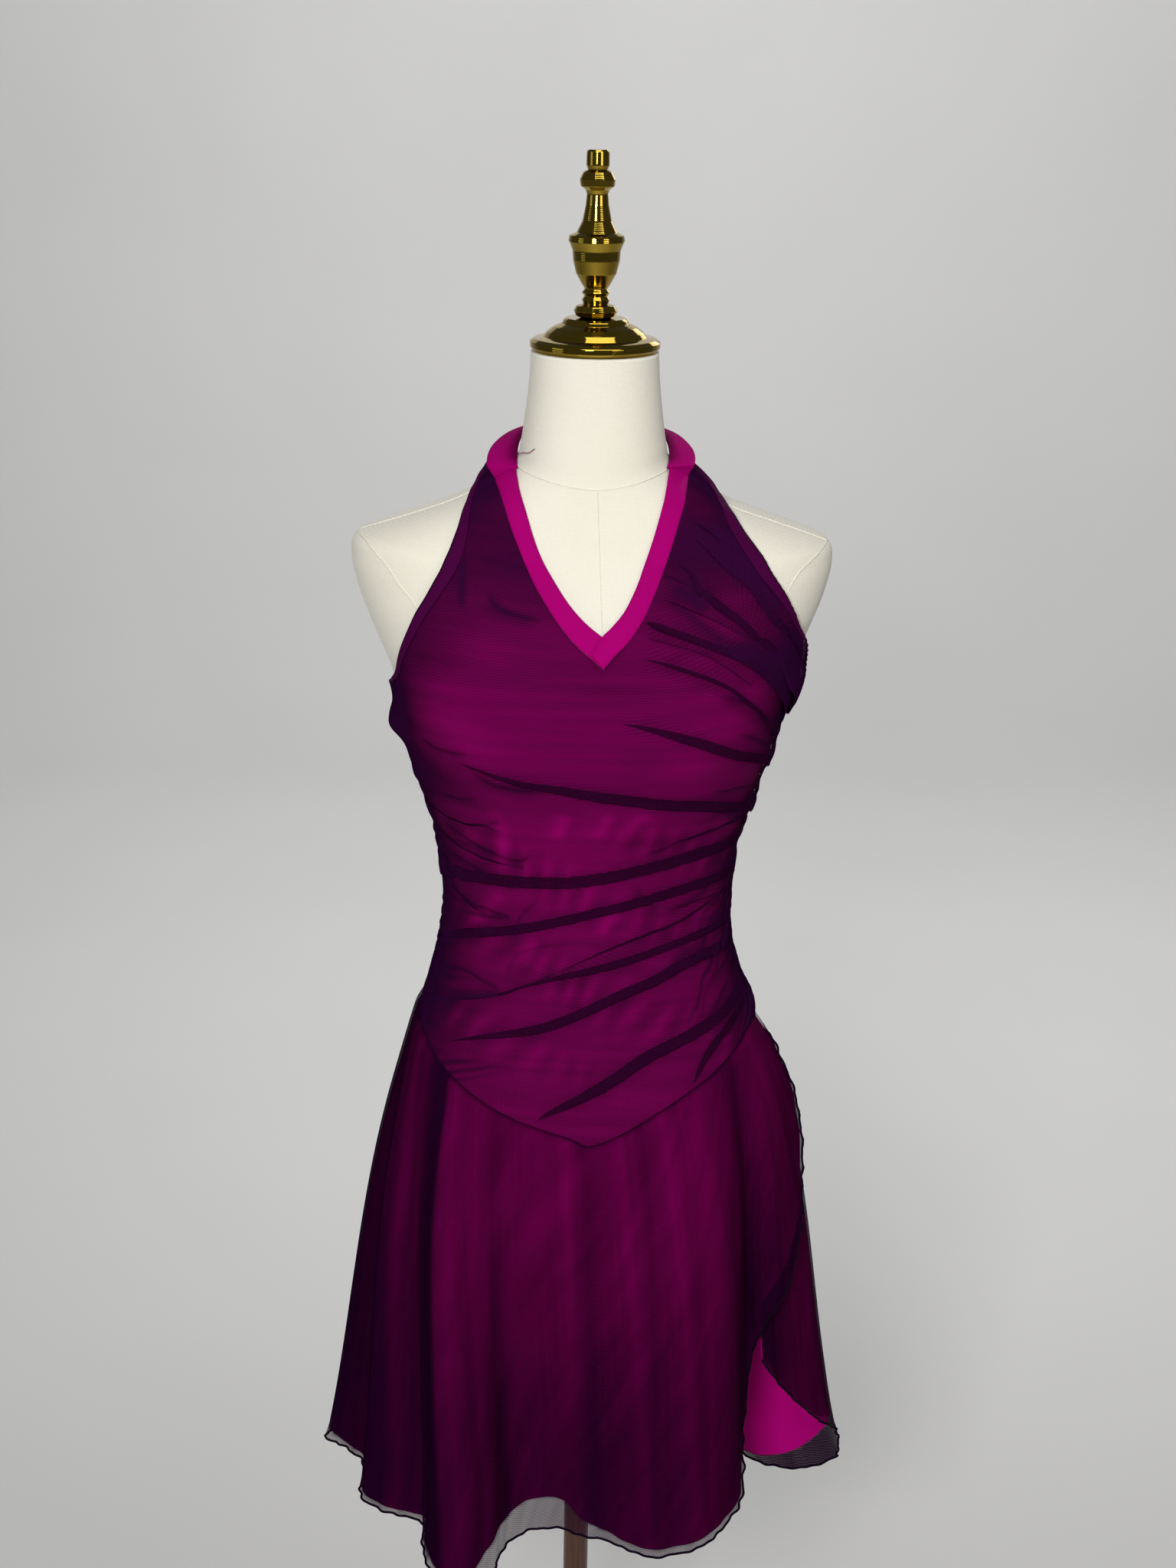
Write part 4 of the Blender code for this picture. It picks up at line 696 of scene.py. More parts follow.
def left_creases(girth, level):
    """Fine creases that run in from the left side seam: a squared sine, in patches, to a wavy reach."""
    fan = level + 0.5 * (level - LEFT_CREASE_LEVEL) * (girth + 1)
    phase = 2 * np.pi * fan / LEFT_CREASE_PITCH + 2.0 * np.sin(52 * fan) + 1.2 * np.sin(111 * fan + 2)
    wave = 0.5 + 0.5 * np.sin(phase)
    patch = 0.5 + 0.5 * np.sin(75 * fan + 9 * girth)
    reach = -0.52 + 0.22 * np.sin(83 * fan + 1)
    return wave**2 * patch * ramp(-girth, -reach, -reach + 0.30) * (1 - ramp(level, 1.10, 1.15))


def gather_height(girth, level, to_armhole):
    """The side fan, the armhole's scallops and the left creases, each at its own height."""
    crest, near_seam = side_fan(girth, level)
    total = GATHER_HEIGHT * crest * near_seam + SCALLOP_HEIGHT * arm_scallops(girth, level, to_armhole)
    return total + LEFT_CREASE_HEIGHT * left_creases(girth, level)


def bunching_and_painted_light(girth, level, to_armhole):
    """How densely the front's outer layer lies, about 0 to 1.

    It is a sum: rises towards both side seams, valleys of the gathers, lines along the waist
    seam, armhole, creases and pleats, and bells at the thick and the stretched spots. Part of
    it is painted light: painted shade beside the creases and under the left bust, and painted
    highlights on the bust, the belly, the light streaks and the lining's belly creases.
    """
    crest, near_seam = side_fan(girth, level)
    scallops = arm_scallops(girth, level, to_armhole)
    density_and_painted_light = 0.09 + 0.85 * near_seam * (1 - crest) + 0.95 * ramp(girth, 0.62, 1.0) ** 1.9
    density_and_painted_light = density_and_painted_light + 0.95 * ramp(-girth, 0.52, 0.98) ** 1.3 + 0.6 * left_creases(girth, level)
    density_and_painted_light = density_and_painted_light + 0.5 * bell(level - waist_level(girth), 0.0016)
    density_and_painted_light = density_and_painted_light + 0.5 * (1 - scallops) * bell(to_armhole, 0.010) * (girth > 0.6)
    # thin spots: painted highlights on the bust and belly; thick spot under the left bust: painted shade
    for centre_girth, centre_level, spread_girth, spread_level, amount in BUNCHED_AND_PAINTED_LIGHT_SPOTS:
        away = ((girth - centre_girth) / spread_girth) ** 2 + ((level - centre_level) / spread_level) ** 2
        density_and_painted_light = density_and_painted_light + amount * np.exp(-away)
    # thinner over the crests of the lining's belly creases, where the layer lies on them, with a painted
    # highlight there
    density_and_painted_light = density_and_painted_light - 0.16 * belly_crease(girth, level)
    # crease marks: painted shadow beside the creases, painted highlights along the light streaks
    density_and_painted_light = density_and_painted_light + 0.40 * ramp(level, 1.235, 1.300) + crease_marks(girth, level)[0]
    for overlap, fade_in, _, places in PLEATS:
        across, share, _ = near_curve(places, girth, level, 40)
        inside = ramp(share, 0.0, fade_in) * (share < 1.02)
        width, amount = (0.0022, 0.42) if overlap < FINE_PLEAT else (0.0065, 0.30)
        density_and_painted_light = density_and_painted_light + bell(across, width) * amount * inside
    density_and_painted_light = density_and_painted_light + 0.5 * ramp(np.abs(girth), 0.84, 1.0)
    return np.clip(density_and_painted_light, -0.6, 1.35)


def crease_marks(girth, level):
    """Density and height of the short creases: a sharp line, a soft side of painted shadow and a low ridge
    above it; a negative amount makes a wide painted highlight.
    """
    density_and_painted_light, height = np.zeros(level.shape), np.zeros(level.shape)
    for amount, places in CREASES_AND_PAINTED_HIGHLIGHTS:
        across, share, _ = near_curve(places, girth, level, 24)
        fade = ramp(share, -0.05, 0.35) * (1 - ramp(share, 0.75, 1.05))
        width, strength = (0.0015, 1.1) if amount > 0 else (0.0055, 0.9)
        # the second bell is a painted shadow along the lower side of each crease
        line = bell(across, width) + 0.40 * bell(across + 0.0025, 0.0045)
        density_and_painted_light += amount * strength * fade * line
        height += CREASE_RIDGE * max(amount, 0.0) * fade * bell(across - 0.0022, 0.0024)
    return density_and_painted_light, height


def belly_crease(girth, level):
    """Steep soft creases of the lining over the belly, as a wave between -1 and 1 faded at its rim."""
    steep = girth * GIRTH_LENGTH - BELLY_CREASE_SLANT * (level - 1.0)
    phase = 2 * np.pi * steep / BELLY_CREASE_PITCH + 2.6 * np.sin(23 * level)
    crease = np.sin(phase + 1.6 * np.sin(9 * girth + 14 * level))
    crease = crease * (0.5 + 0.5 * np.sin(2 * np.pi * level / 0.078 + 6 * girth)) ** 1.5
    crease = crease * ramp(level, 0.86, 0.92) * (1 - ramp(level, 1.085, 1.125))
    return crease * (1 - ramp(np.abs(girth), 0.65, 0.9))


def mesh_ripple(girth, level):
    """Slight waves of the loose outer layer, three crossed sines."""
    waves = np.sin(23 * girth + 40 * level) + np.sin(-17 * girth + 95 * level + 1.3)
    return MESH_RIPPLE * (waves + np.sin(61 * girth + 31 * level + 0.6))


def waist_level(girth):
    """Level of the waist seam, by the table; a girth below -1 is read on round the back."""
    girth = np.where(np.asarray(girth) < -1, np.asarray(girth) + 4, girth)
    return read_table(WAIST_SEAM, girth)[..., 1]


def along_curve(table, share, start_level=None):
    """Girths and levels at shares of a curve's length, from its first point or from a level up."""
    fine = all_rows(table, 400)
    if start_level is not None:
        fine = fine[fine[:, 0] >= start_level]
        fine[0, 0] = start_level
    steps = np.hypot(np.diff(fine[:, 0]), np.diff(fine[:, 1]) * GIRTH_LENGTH)
    length = np.concatenate([[0.0], np.cumsum(steps)])
    place = np.asarray(share) * length[-1]
    return np.interp(place, length, fine[:, 1]), np.interp(place, length, fine[:, 0])


def front_grid(side, columns, rows_below, rows_beside):
    """Girth and level over half of the front panel, outer edge to inner edge in each row.

    Rows below the V climb by level and dip to the waist seam; rows beside it run straight
    from the armhole to the neck seam at equal shares of both curves. The distances of each
    point from the armhole and from the neck seam along its row come with them.
    """
    armhole, neck = ARMHOLE_LEFT, NECK_SEAM_LEFT
    if side > 0:
        armhole, neck = ARMHOLE_RIGHT, (*NECK_SEAM_RIGHT, RIGHT_TOP_CORNER)
    share = np.linspace(0, 1, columns + 1)
    below = np.linspace(SIDE_WAIST_LEVEL, V_LEVEL, rows_below + 1)
    outer = np.where(below <= UNDERARM_LEVEL, side, read_table(armhole, below)[..., 1])
    climb = (below - SIDE_WAIST_LEVEL) / (V_LEVEL - SIDE_WAIST_LEVEL)
    inner = WAIST_POINT_GIRTH + (V_GIRTH - WAIST_POINT_GIRTH) * climb
    girth = outer[:, None] + (inner - outer)[:, None] * share
    level = np.broadcast_to(below[:, None], girth.shape)
    dip = np.clip((WAIST_DIP_TOP - level) / (WAIST_DIP_TOP - SIDE_WAIST_LEVEL), 0, 1) ** 1.3
    level = level + (waist_level(girth) - SIDE_WAIST_LEVEL) * dip
    rows = np.linspace(0, 1, rows_beside + 1)[1:]
    outer_girth, outer_level = along_curve(armhole, rows, start_level=V_LEVEL)
    inner_girth, inner_level = along_curve(neck, rows)
    beside_girth = outer_girth[:, None] + (inner_girth - outer_girth)[:, None] * share
    beside_level = outer_level[:, None] + (inner_level - outer_level)[:, None] * share
    girth, level = np.concatenate([girth, beside_girth]), np.concatenate([level, beside_level])
    width = np.hypot((girth[:, -1] - girth[:, 0]) * GIRTH_LENGTH, level[:, -1] - level[:, 0])[:, None]
    at_armhole = (level[:, :1] > UNDERARM_LEVEL) & np.ones(level.shape, bool)
    to_armhole = np.where(at_armhole, width * share, 1.0)
    beside = np.arange(len(level))[:, None] > rows_below
    to_neck = np.where(beside, width * (1 - share), 1.0)
    return girth, level, to_armhole, to_neck


def front_mesh_point(girth, level, to_armhole, to_neck, out, laid_over=1.0):
    """The outer layer of the front: pleats shift and stack it, then wrinkles and gathers raise it.

    The pleats are pinned where the panel is sewn, so its edges stay smooth, and it dips into
    the waist seam and the neck seams.
    """
    shift, stack = pleat_shift(girth, level)
    above_waist = np.maximum(level - waist_level(girth), 0)
    free = ramp(above_waist, 0.0, WAIST_PIN) * ramp(to_armhole, 0.004, 0.013) * ramp(to_neck, 0.0, 0.007)
    shift, stack = laid_over * shift * free[..., None], stack * (PINNED_STACK + (1 - PINNED_STACK) * free)
    stack = stack * pressed_flat(girth)
    shift[..., 0] *= ramp(1 - np.abs(girth), 0.0, 0.05)
    tuck = WAIST_TUCK * np.exp(-above_waist / TUCK_REACH) + NECK_TUCK * np.exp(-to_neck / TUCK_REACH)
    distance = out + stack + wrinkle_height(girth, level) + gather_height(girth, level, to_armhole)
    distance = distance + side_bulge(girth, level)
    distance = distance + crease_marks(girth, level)[1] + mesh_ripple(girth, level) - tuck
    distance = distance + strap_lift(girth, level) + underarm_bridge(girth, level)
    return raised(form_surface, girth + shift[..., 0] / GIRTH_LENGTH, level + shift[..., 1], distance)


def pressed_flat(girth):
    """The pleats lie flatter towards the right side seam, where they are sewn down."""
    return 1 - PRESSED_SHARE * ramp(girth, *PRESSED_GIRTHS)


def seam_lift(side, level):
    """How far the front's outer layer stands off at a side seam, where the back meets it."""
    girth = np.full(level.shape, float(side))
    pinned = PINNED_STACK + (1 - PINNED_STACK) * ramp(level - waist_level(girth), 0.0, WAIST_PIN)
    lift = pleat_shift(girth, level)[1] * pressed_flat(girth) * pinned
    lift = lift + wrinkle_height(girth, level) + gather_height(girth, level, 1.0)
    return lift + crease_marks(girth, level)[1] + mesh_ripple(girth, level) + underarm_bridge(girth, level)


def side_bulge(girth, level):
    """The puffs at the side seams, shared by the front, the back and the lining."""
    around = np.where(girth > 2, girth - 4, girth)
    return ramp(np.abs(around), 0.74, 0.9) * wrinkle_height(around, level, SIDE_PUFFS)


def lining_point(girth, level, _to_armhole, _to_neck, out):
    """The front's lining: steep soft creases over the belly, a step inside each cup and the puffs."""
    cups = 0.0
    for centre in CUPS:
        across = (girth - centre) * GIRTH_LENGTH / CUP_HALF_WIDTH
        away = np.hypot(across, (level - CUP_LEVEL) / CUP_HALF_HEIGHT)
        cups = cups + CUP_STEP * (1 - ramp(away, 0.80, 1.0))
    distance = out + BELLY_CREASE_HEIGHT * belly_crease(girth, level) + cups + side_bulge(girth, level)
    distance = distance + strap_lift(girth, level) + underarm_bridge(girth, level)
    return raised(form_surface, girth, level, distance)


def off_form(point, drop):
    """Push a skirt point out where it would come nearer to the form than cloth lies on the hips.

    The push is a soft maximum of 0 and what is missing, the logarithm of a sum of exponentials.
    """
    angle = np.degrees(np.arctan2(point[..., 1], point[..., 0]))
    on_form = form_surface((angle + 90) / 90, point[..., 2])
    radius = np.linalg.norm(point[..., :2], axis=-1)
    missing = np.linalg.norm(on_form[..., :2], axis=-1) + SKIRT_OFF_FORM - radius
    push = SKIRT_CONTACT * np.logaddexp(0, missing / SKIRT_CONTACT) * ramp(drop, 0.0, 0.03)
    point[..., :2] *= ((radius + push) / radius)[..., None]
    return point


def skirt_surface(place, drop):
    """The skirt by a column's place in the hem tables and the drop from seam to hem.

    Each column runs from the waist seam to its hem point, eased out over the hips by a curve
    that is 1 a third of the way down: 6.75 times the drop times the square of what is left.
    """
    row = read_rows(SKIRT_BACK + SKIRT_FRONT, place)
    seam, hem = form_surface(row[..., 0], waist_level(row[..., 0])), row[..., 1:4]
    length = np.linalg.norm(hem - seam, axis=-1)
    way_out = unit(hem[..., :2] + seam[..., :2])
    flare = RIGHT_FLARE_EASE * bell(row[..., 0] - RIGHT_FLARE_GIRTH, RIGHT_FLARE_SPREAD)
    ease = (HIP_EASE + flare) * ramp(length, 0.0, 0.30) * 6.75 * drop * (1 - drop) ** 2
    point = seam + (hem - seam) * drop[..., None]
    late = np.clip(drop, 0, 1) ** SLIT_EDGE_BEND
    turn = 1 - ramp(place, 0.0, SLIT_EDGE_COLUMNS)
    point[..., 1] += turn * (hem[..., 1] - seam[..., 1]) * (late - drop)
    point[..., :2] += way_out * ease[..., None]
    return off_form(point, drop)


def skirt_waves(table, place, drop):
    """A sum of ridges across the skirt, each a bell with a width of its own on each side.

    The middle of each leans from its place at the seam to its place at the hem, and its
    height changes from the one to the other.
    """
    total = np.zeros(place.shape)
    for at_seam, at_hem, left, right, height, hem_height in table:
        away = place - at_seam - (at_hem - at_seam) * drop
        total += (height + (hem_height - height) * drop) * bell(away, np.where(away < 0, left, right))
    return total


def skirt_bunching_and_painted_light(place, drop):
    """How densely the skirt's outer layer lies, about 0 to 1: in its deep folds, with silky streaks."""
    wander = 0.10 * np.sin(9 * drop + 2.1 * place)
    streak = np.sin(15.1 * (place + wander)) + np.sin(24.7 * (place - wander) + 1)
    streak = streak + 0.8 * np.sin(41.3 * place + 5.0 * drop + 2)
    streak = streak * (0.5 + 0.5 * np.sin(7.2 * drop + 3.3 * place)) * (1 - 0.6 * ramp(drop, 0.55, 0.90))
    density_and_painted_light = 0.22 + 0.42 * ramp(drop, 0.15, 0.90) + 0.5 * bell(drop, 0.006)
    # the table's rows paint shade into the fold valleys and highlights onto the crests
    return np.clip(density_and_painted_light + skirt_waves(SKIRT_BUNCHES_AND_PAINTED_LIGHT, place, drop) + 0.035 * streak, -0.3, 1.35)


def skirt_layer(first, last, rows, out, lining):
    """A layer of a skirt panel between two places, with its map and density; rows climb to the seam.

    The lining stops short of the hem by its table's length, small waves grow towards the hem,
    and the last of the mesh before its hem flutters along its length. Where the mesh runs
    on past the lining, its density is that of the doubled edge.
    """
    places = np.linspace(first, last, SKIRT_COLUMNS + 1)
    row = read_rows(SKIRT_BACK + SKIRT_FRONT, places)
    seam = form_surface(row[:, 0], waist_level(row[:, 0]))
    length = np.linalg.norm(row[:, 1:4] - seam, axis=-1)
    climb = np.linspace(1, 0, rows + 1)[:, None]
    drop = climb * np.ones(SKIRT_COLUMNS + 1)
    if lining:
        drop = drop * (1 - row[:, 4] / length)
    place = np.broadcast_to(places, drop.shape)
    hem_length = path_length(row[:, 1:4])
    soft = np.sin(2.9 * place + 1.1) + 0.6 * np.sin(5.3 * place + 2.4 + 2 * drop)
    soft = soft + 0.35 * np.sin(9.1 * place + 0.5)
    folds = skirt_waves(SKIRT_FOLDS, place, drop) * ramp(drop, 0.0, 0.4)
    distance = out + folds * (1 - 0.35 * ramp(drop, 0.8, 1.0))
    distance = distance + SKIRT_SOFT_WAVE * soft * ramp(drop, 0.05, 0.9)
    if not lining:
        wave = np.sin(2 * np.pi * hem_length / HEM_FLUTTER_PITCH + 1.5 * np.sin(hem_length * 45))
        wave = wave + 0.6 * np.sin(2 * np.pi * hem_length / HEM_FLUTTER_FINE_PITCH + 2)
        distance = distance + HEM_FLUTTER * wave * ramp(drop, 0.955, 1.0) ** 2
    distance = distance - WAIST_TUCK * np.exp(-drop * length / TUCK_REACH)
    grid = raised(skirt_surface, place, drop, distance, flip=-1.0)
    around = np.broadcast_to(hem_length, drop.shape) * (0.6 + 0.4 * climb)
    uv = np.stack([around, -climb * length], axis=-1)
    above_hem = (1 - drop) * length - row[:, 4]
    alone = 1 - ramp(above_hem, -0.0010, 0.0010)
    density_and_painted_light = skirt_bunching_and_painted_light(place, drop)
    doubled = 0.35 + 0.75 * bell(place - 7.8, 3.2) + 0.6 * bell(place - 57.5, 5.5, 6)
    return grid, uv, density_and_painted_light + (doubled - density_and_painted_light) * alone


def path_sides(path):
    """Unit side and up directions along an open path, the side kept level where it can be."""
    tangent = unit(np.gradient(path, axis=0))
    helper = np.where(np.abs(tangent[:, 2:]) > 0.95, [[1.0, 0.0, 0.0]], [[0.0, 0.0, 1.0]])
    side = unit(np.cross(tangent, helper))
    return side, np.cross(side, tangent)


def grid_quads(index, closed=False):
    """Point numbers of each cell of a grid; a closed grid's last column joins its first."""
    after = np.roll(index, -1, axis=-1) if closed else index[..., 1:]
    now = index if closed else index[..., :-1]
    corners = [now[..., :-1, :], after[..., :-1, :], after[..., 1:, :], now[..., 1:, :]]
    return np.stack(corners, axis=-1).reshape(-1, 4)


def make_mesh(name, points, quads, uv=None):
    """A smooth mesh of quads, with the map of each point on its corners."""
    mesh = bpy.data.meshes.new(name)
    mesh.vertices.add(len(points))
    mesh.vertices.foreach_set("co", np.ascontiguousarray(points, np.float32).ravel())
    mesh.loops.add(quads.size)
    mesh.loops.foreach_set("vertex_index", quads.ravel().astype(np.int32))
    mesh.polygons.add(len(quads))
    mesh.polygons.foreach_set("loop_start", (np.arange(len(quads)) * 4).astype(np.int32))
    mesh.update(calc_edges=True)
    if uv is not None:
        layer = mesh.uv_layers.new(name="cloth")
        layer.data.foreach_set("uv", uv[quads.ravel()].astype(np.float32).ravel())
    mesh.shade_smooth()
    mesh.validate()
    return mesh


def make_grid_mesh(name, grid, uv=None, closed=False):
    """A grid of points as a mesh; a closed one is a tube with a face over each end."""
    index = np.arange(grid.shape[0] * grid.shape[1]).reshape(grid.shape[:2])
    uv = None if uv is None else uv.reshape(-1, 2)
    mesh = make_mesh(name, grid.reshape(-1, 3), grid_quads(index, closed), uv)
    if closed:
        add_end_caps(mesh, index)
    return mesh


def add_end_caps(mesh, index):
    """Close a tube's two open ends with one face each."""
    work = bmesh.new()
    work.from_mesh(mesh)
    work.verts.ensure_lookup_table()
    for ring in (index[0][::-1], index[-1]):
        work.faces.new([work.verts[int(i)] for i in ring])
    work.to_mesh(mesh)
    work.free()


def set_bunching_and_painted_light(mesh, values):
    """Give each point a value for the material: how densely the cloth lies there, with painted shade and
    highlights in it; on the strap, a painted shadow.
    """
    layer = mesh.attributes.new("bunching_and_painted_light", "FLOAT", "POINT")
    layer.data.foreach_set("value", np.ascontiguousarray(values, np.float32).ravel())


def add_piece(name, mesh, finish, nodes=()):
    """Link a finished mesh as a piece that rides on the body and stands for its CAD nodes."""
    mesh.materials.append(material(finish))
    piece = bpy.data.objects.new(name, mesh)
    bpy.context.scene.collection.objects.link(piece)
    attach(piece, "root")
    if nodes:
        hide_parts(*nodes)
    return piece


def add_grid_piece(name, grid, finish, nodes=(), uv=None, closed=False):
    """A piece from a grid of points, open or closed to a tube."""
    return add_piece(name, make_grid_mesh(name, grid, uv, closed), finish, nodes)


def add_thread(name, path, radius, finish):
    """A thread, a raised seam or a rolled hem: a circle of eight points carried along a path."""
    side, up = path_sides(path)
    angle = np.linspace(0, 2 * np.pi, 8, endpoint=False)
    ring = side[:, None] * np.cos(angle)[:, None] + up[:, None] * np.sin(angle)[:, None]
    return add_grid_piece(name, path[:, None] + radius * ring, finish, closed=True)


def add_turned(name, profile, samples, edge, finish, slot, node):
    """A turned piece: its profile of radius and height, read finely, carried round the axis.

    The profile's first and last points lie on the axis, and the end faces take their place.
    """
    rows = np.asarray(profile, float)
    length = path_length(rows)
    fine = np.unique(np.concatenate([np.linspace(0, length[-1], samples), length]))
    rows = np.column_stack([np.interp(fine, length, rows[:, i]) for i in range(2)])[-2:0:-1]
    angle = np.linspace(0, 2 * np.pi, TURNED_STEPS, endpoint=False)
    radius, height = rows[:, 0, None], rows[:, 1, None]
    grid = np.stack(np.broadcast_arrays(radius * np.cos(angle), radius * np.sin(angle), height), axis=-1)
    piece = add_grid_piece(name, grid, finish, (node,), closed=True)
    bevel = piece.modifiers.new("soft edges", "BEVEL")
    bevel.width, bevel.segments, bevel.limit_method = edge, 2, "ANGLE"


def sheet_area(grid):
    """Area of a grid of points: each cell is two triangles, half the length of a cross product."""
    one = np.cross(grid[:-1, 1:] - grid[:-1, :-1], grid[1:, :-1] - grid[:-1, :-1])
    two = np.cross(grid[:-1, 1:] - grid[1:, 1:], grid[1:, :-1] - grid[1:, 1:])
    return (np.linalg.norm(one, axis=-1).sum() + np.linalg.norm(two, axis=-1).sum()) / 2


def laid_flat(*grids):
    """Cut of grids sewn side by side: longest rows in a sum, longest column, and the cells' area."""
    width = sum(np.linalg.norm(np.diff(grid, axis=1), axis=-1).sum(axis=1).max() for grid in grids)
    length = max(np.linalg.norm(np.diff(grid, axis=0), axis=-1).sum(axis=0).max() for grid in grids)
    return width, length, sum(sheet_area(grid) for grid in grids)


def state_cut(piece, width, length, area, held, rests_on):
    """State the size that a sheet was cut to, its area within the rectangle of that size."""
    width, length = float(width), float(length)
    area = float(np.clip(area, 0.3 * width * length, width * length))
    print(f"sheet {piece.name}: {width:.3f} x {length:.3f} m, {area:.5f} m2")


def lens_strip(left_edge, right_edge, outward, thickness):
    """A folded band of cloth: a flat loop between two edges, round at its folded edges.

    Round the loop the share off the middle is the 0.6th power of a cosine and the height over
    the straight line between the edges is half the thickness times 1 plus the root of a sine.
    """
    angle = np.linspace(0, 2 * np.pi, BAND_STEPS, endpoint=False)
    spread = np.sign(np.cos(angle)) * np.abs(np.cos(angle)) ** 0.6
    bulge = np.sign(np.sin(angle)) * np.abs(np.sin(angle)) ** 0.5
    middle = (left_edge + right_edge) / 2
    half = (right_edge - left_edge) / 2
    raise_by = thickness / 2 * (1 + bulge)
    return middle[:, None] + half[:, None] * spread[:, None] + outward[:, None] * raise_by[:, None]


class NodeWriter:
    """Short calls for a material's node tree."""

    def __init__(self, name):
        self.material = bpy.data.materials.new(name)
        self.material.use_nodes = True
        self.tree = self.material.node_tree
        self.shader = self.tree.nodes["Principled BSDF"]

    def feed(self, node, inputs):
        """Link each input to the socket that it gets, or set it to its plain value."""
        for key, value in inputs.items():
            if isinstance(value, bpy.types.NodeSocket):
                self.tree.links.new(value, node.inputs[key])
            else:
                node.inputs[key].default_value = value

    def node(self, kind, inputs, **settings):
        node = self.tree.nodes.new(kind)
        for key, value in settings.items():
            setattr(node, key, value)
        self.feed(node, inputs)
        return node

    def maths(self, operation, first, second):
        return self.node("ShaderNodeMath", {0: first, 1: second}, operation=operation).outputs[0]

    def times(self, first, second):
        return self.maths("MULTIPLY", first, second)

    def plus(self, first, second):
        return self.maths("ADD", first, second)

    def mix(self, factor, first, second):
        inputs = {"Factor": factor, 6: first, 7: second}
        return self.node("ShaderNodeMix", inputs, data_type="RGBA").outputs[2]

    def noise(self, where, scale, detail):
        inputs = {"Vector": where, "Scale": scale, "Detail": detail}
        return self.node("ShaderNodeTexNoise", inputs).outputs["Fac"]

    def bands(self, where, scale, direction, distortion):
        inputs = {"Vector": where, "Scale": scale, "Distortion": distortion, "Detail Scale": 2.0}
        return self.node("ShaderNodeTexWave", inputs, bands_direction=direction).outputs["Fac"]

    def stretched(self, where, scale):
        return self.node("ShaderNodeMapping", {"Vector": where, "Scale": scale}).outputs["Vector"]

    def bunched_and_painted_light(self):
        return self.node("ShaderNodeAttribute", {}, attribute_name="bunching_and_painted_light").outputs["Fac"]

    def cloth_uv(self):
        return self.node("ShaderNodeUVMap", {}, uv_map="cloth").outputs["UV"]

    def place(self):
        return self.node("ShaderNodeTexCoord", {}).outputs["Object"]

    def finish(self, inputs, height, distance, strength):
        """Feed the shader, with a bump of that height, and hand the material over."""
        bump = self.node("ShaderNodeBump", {"Height": height, "Distance": distance, "Strength": strength})
        self.feed(self.shader, {**inputs, "Normal": bump.outputs["Normal"]})
        return self.material


def shade(colour, factor=1.0, more=0.0):
    """A colour times a factor, with a little more in each channel, as red, green, blue and alpha."""
    return (*(min(1.0, channel * factor + more) for channel in colour), 1.0)


def sheer_mesh_material(name, colour, deep, thin, thick, streaks):
    """Sheer stretch net: crossed threads and the bunching attribute set how much it covers.

    The cover runs from thin to thick with the bunching; the weave, patches and streaks
    drawn out along one direction vary it, and the dye varies with them. Where the attribute is
    high the colour goes to the deep one, so its painted shade and highlights reach cover and colour.
    """
    w = NodeWriter(name)
    uv = w.cloth_uv()
    scale = BANDS_AT_SCALE_1 / NET_PITCH
    rows = w.bands(uv, scale, "Y", 0.4)
    columns = w.bands(uv, scale * 1.3, "X", 0.4)
    net = w.maths("MAXIMUM", rows, w.times(columns, 0.85))
    patches = w.noise(uv, 14.0, 4.0)
    silk = w.noise(w.stretched(uv, streaks), 1.0, 4.0)
    fine = w.noise(uv, 420.0, 2.0)
    base = w.mix(patches, shade(colour), shade(colour, 0.72))
    base = w.mix(w.times(fine, 0.35), base, shade(colour, 1.8))
    bunched_and_painted_light = w.bunched_and_painted_light()
    # towards the deep colour where the attribute is high: doubled mesh, and painted shade where the
    # attribute carries it
    deeply = w.times(w.maths("MAXIMUM", w.maths("SUBTRACT", bunched_and_painted_light, 0.45), 0.0), 1.8)
    base = w.mix(w.maths("MINIMUM", deeply, 1.0), base, shade(deep))
    cover = w.plus(w.times(bunched_and_painted_light, thick - thin), thin)
    for pattern, middle, amount in ((net, 0.6, 0.34), (patches, 0.5, 0.10), (silk, 0.5, 0.30)):
        cover = w.plus(cover, w.times(w.maths("SUBTRACT", pattern, middle), amount))
    inputs = {
        "Base Color": base,
        "Alpha": w.maths("MINIMUM", cover, 0.99),
        "Roughness": 0.55,
        "Specular IOR Level": 0.0,
    }
    return w.finish(inputs, net, 0.0002, 0.6)


def satin_material(name, colour, roughness, inner_edge_shadow=0.0):
    """Satin stretch lining: fine twill lines, soft mottling of the dye and a low grain bump.

    A painted shadow darkens the colour towards one edge, as far as the attribute says.
    """
    w = NodeWriter(name)
    uv = w.cloth_uv()
    twill = w.bands(uv, 900.0, "DIAGONAL", 0.3)
    mottle = w.noise(uv, 22.0, 5.0)
    base = w.mix(mottle, shade(colour), shade(colour, 0.80))
    base = w.mix(w.times(twill, 0.15), base, shade(colour, 1.35, 0.01))
    if inner_edge_shadow:
        # painted shadow: the colour darkens towards the strap's inner edge
        base = w.mix(w.times(w.bunched_and_painted_light(), inner_edge_shadow), base, shade(colour, 0.12))
    inputs = {
        "Base Color": base,
        "Roughness": w.plus(w.times(mottle, 0.18), roughness),
        "Specular IOR Level": 0.02,
        "Specular Tint": (1.0, 0.08, 0.7, 1.0),
    }
    return w.finish(inputs, w.plus(twill, w.times(mottle, 2.5)), 0.00012, 0.7)


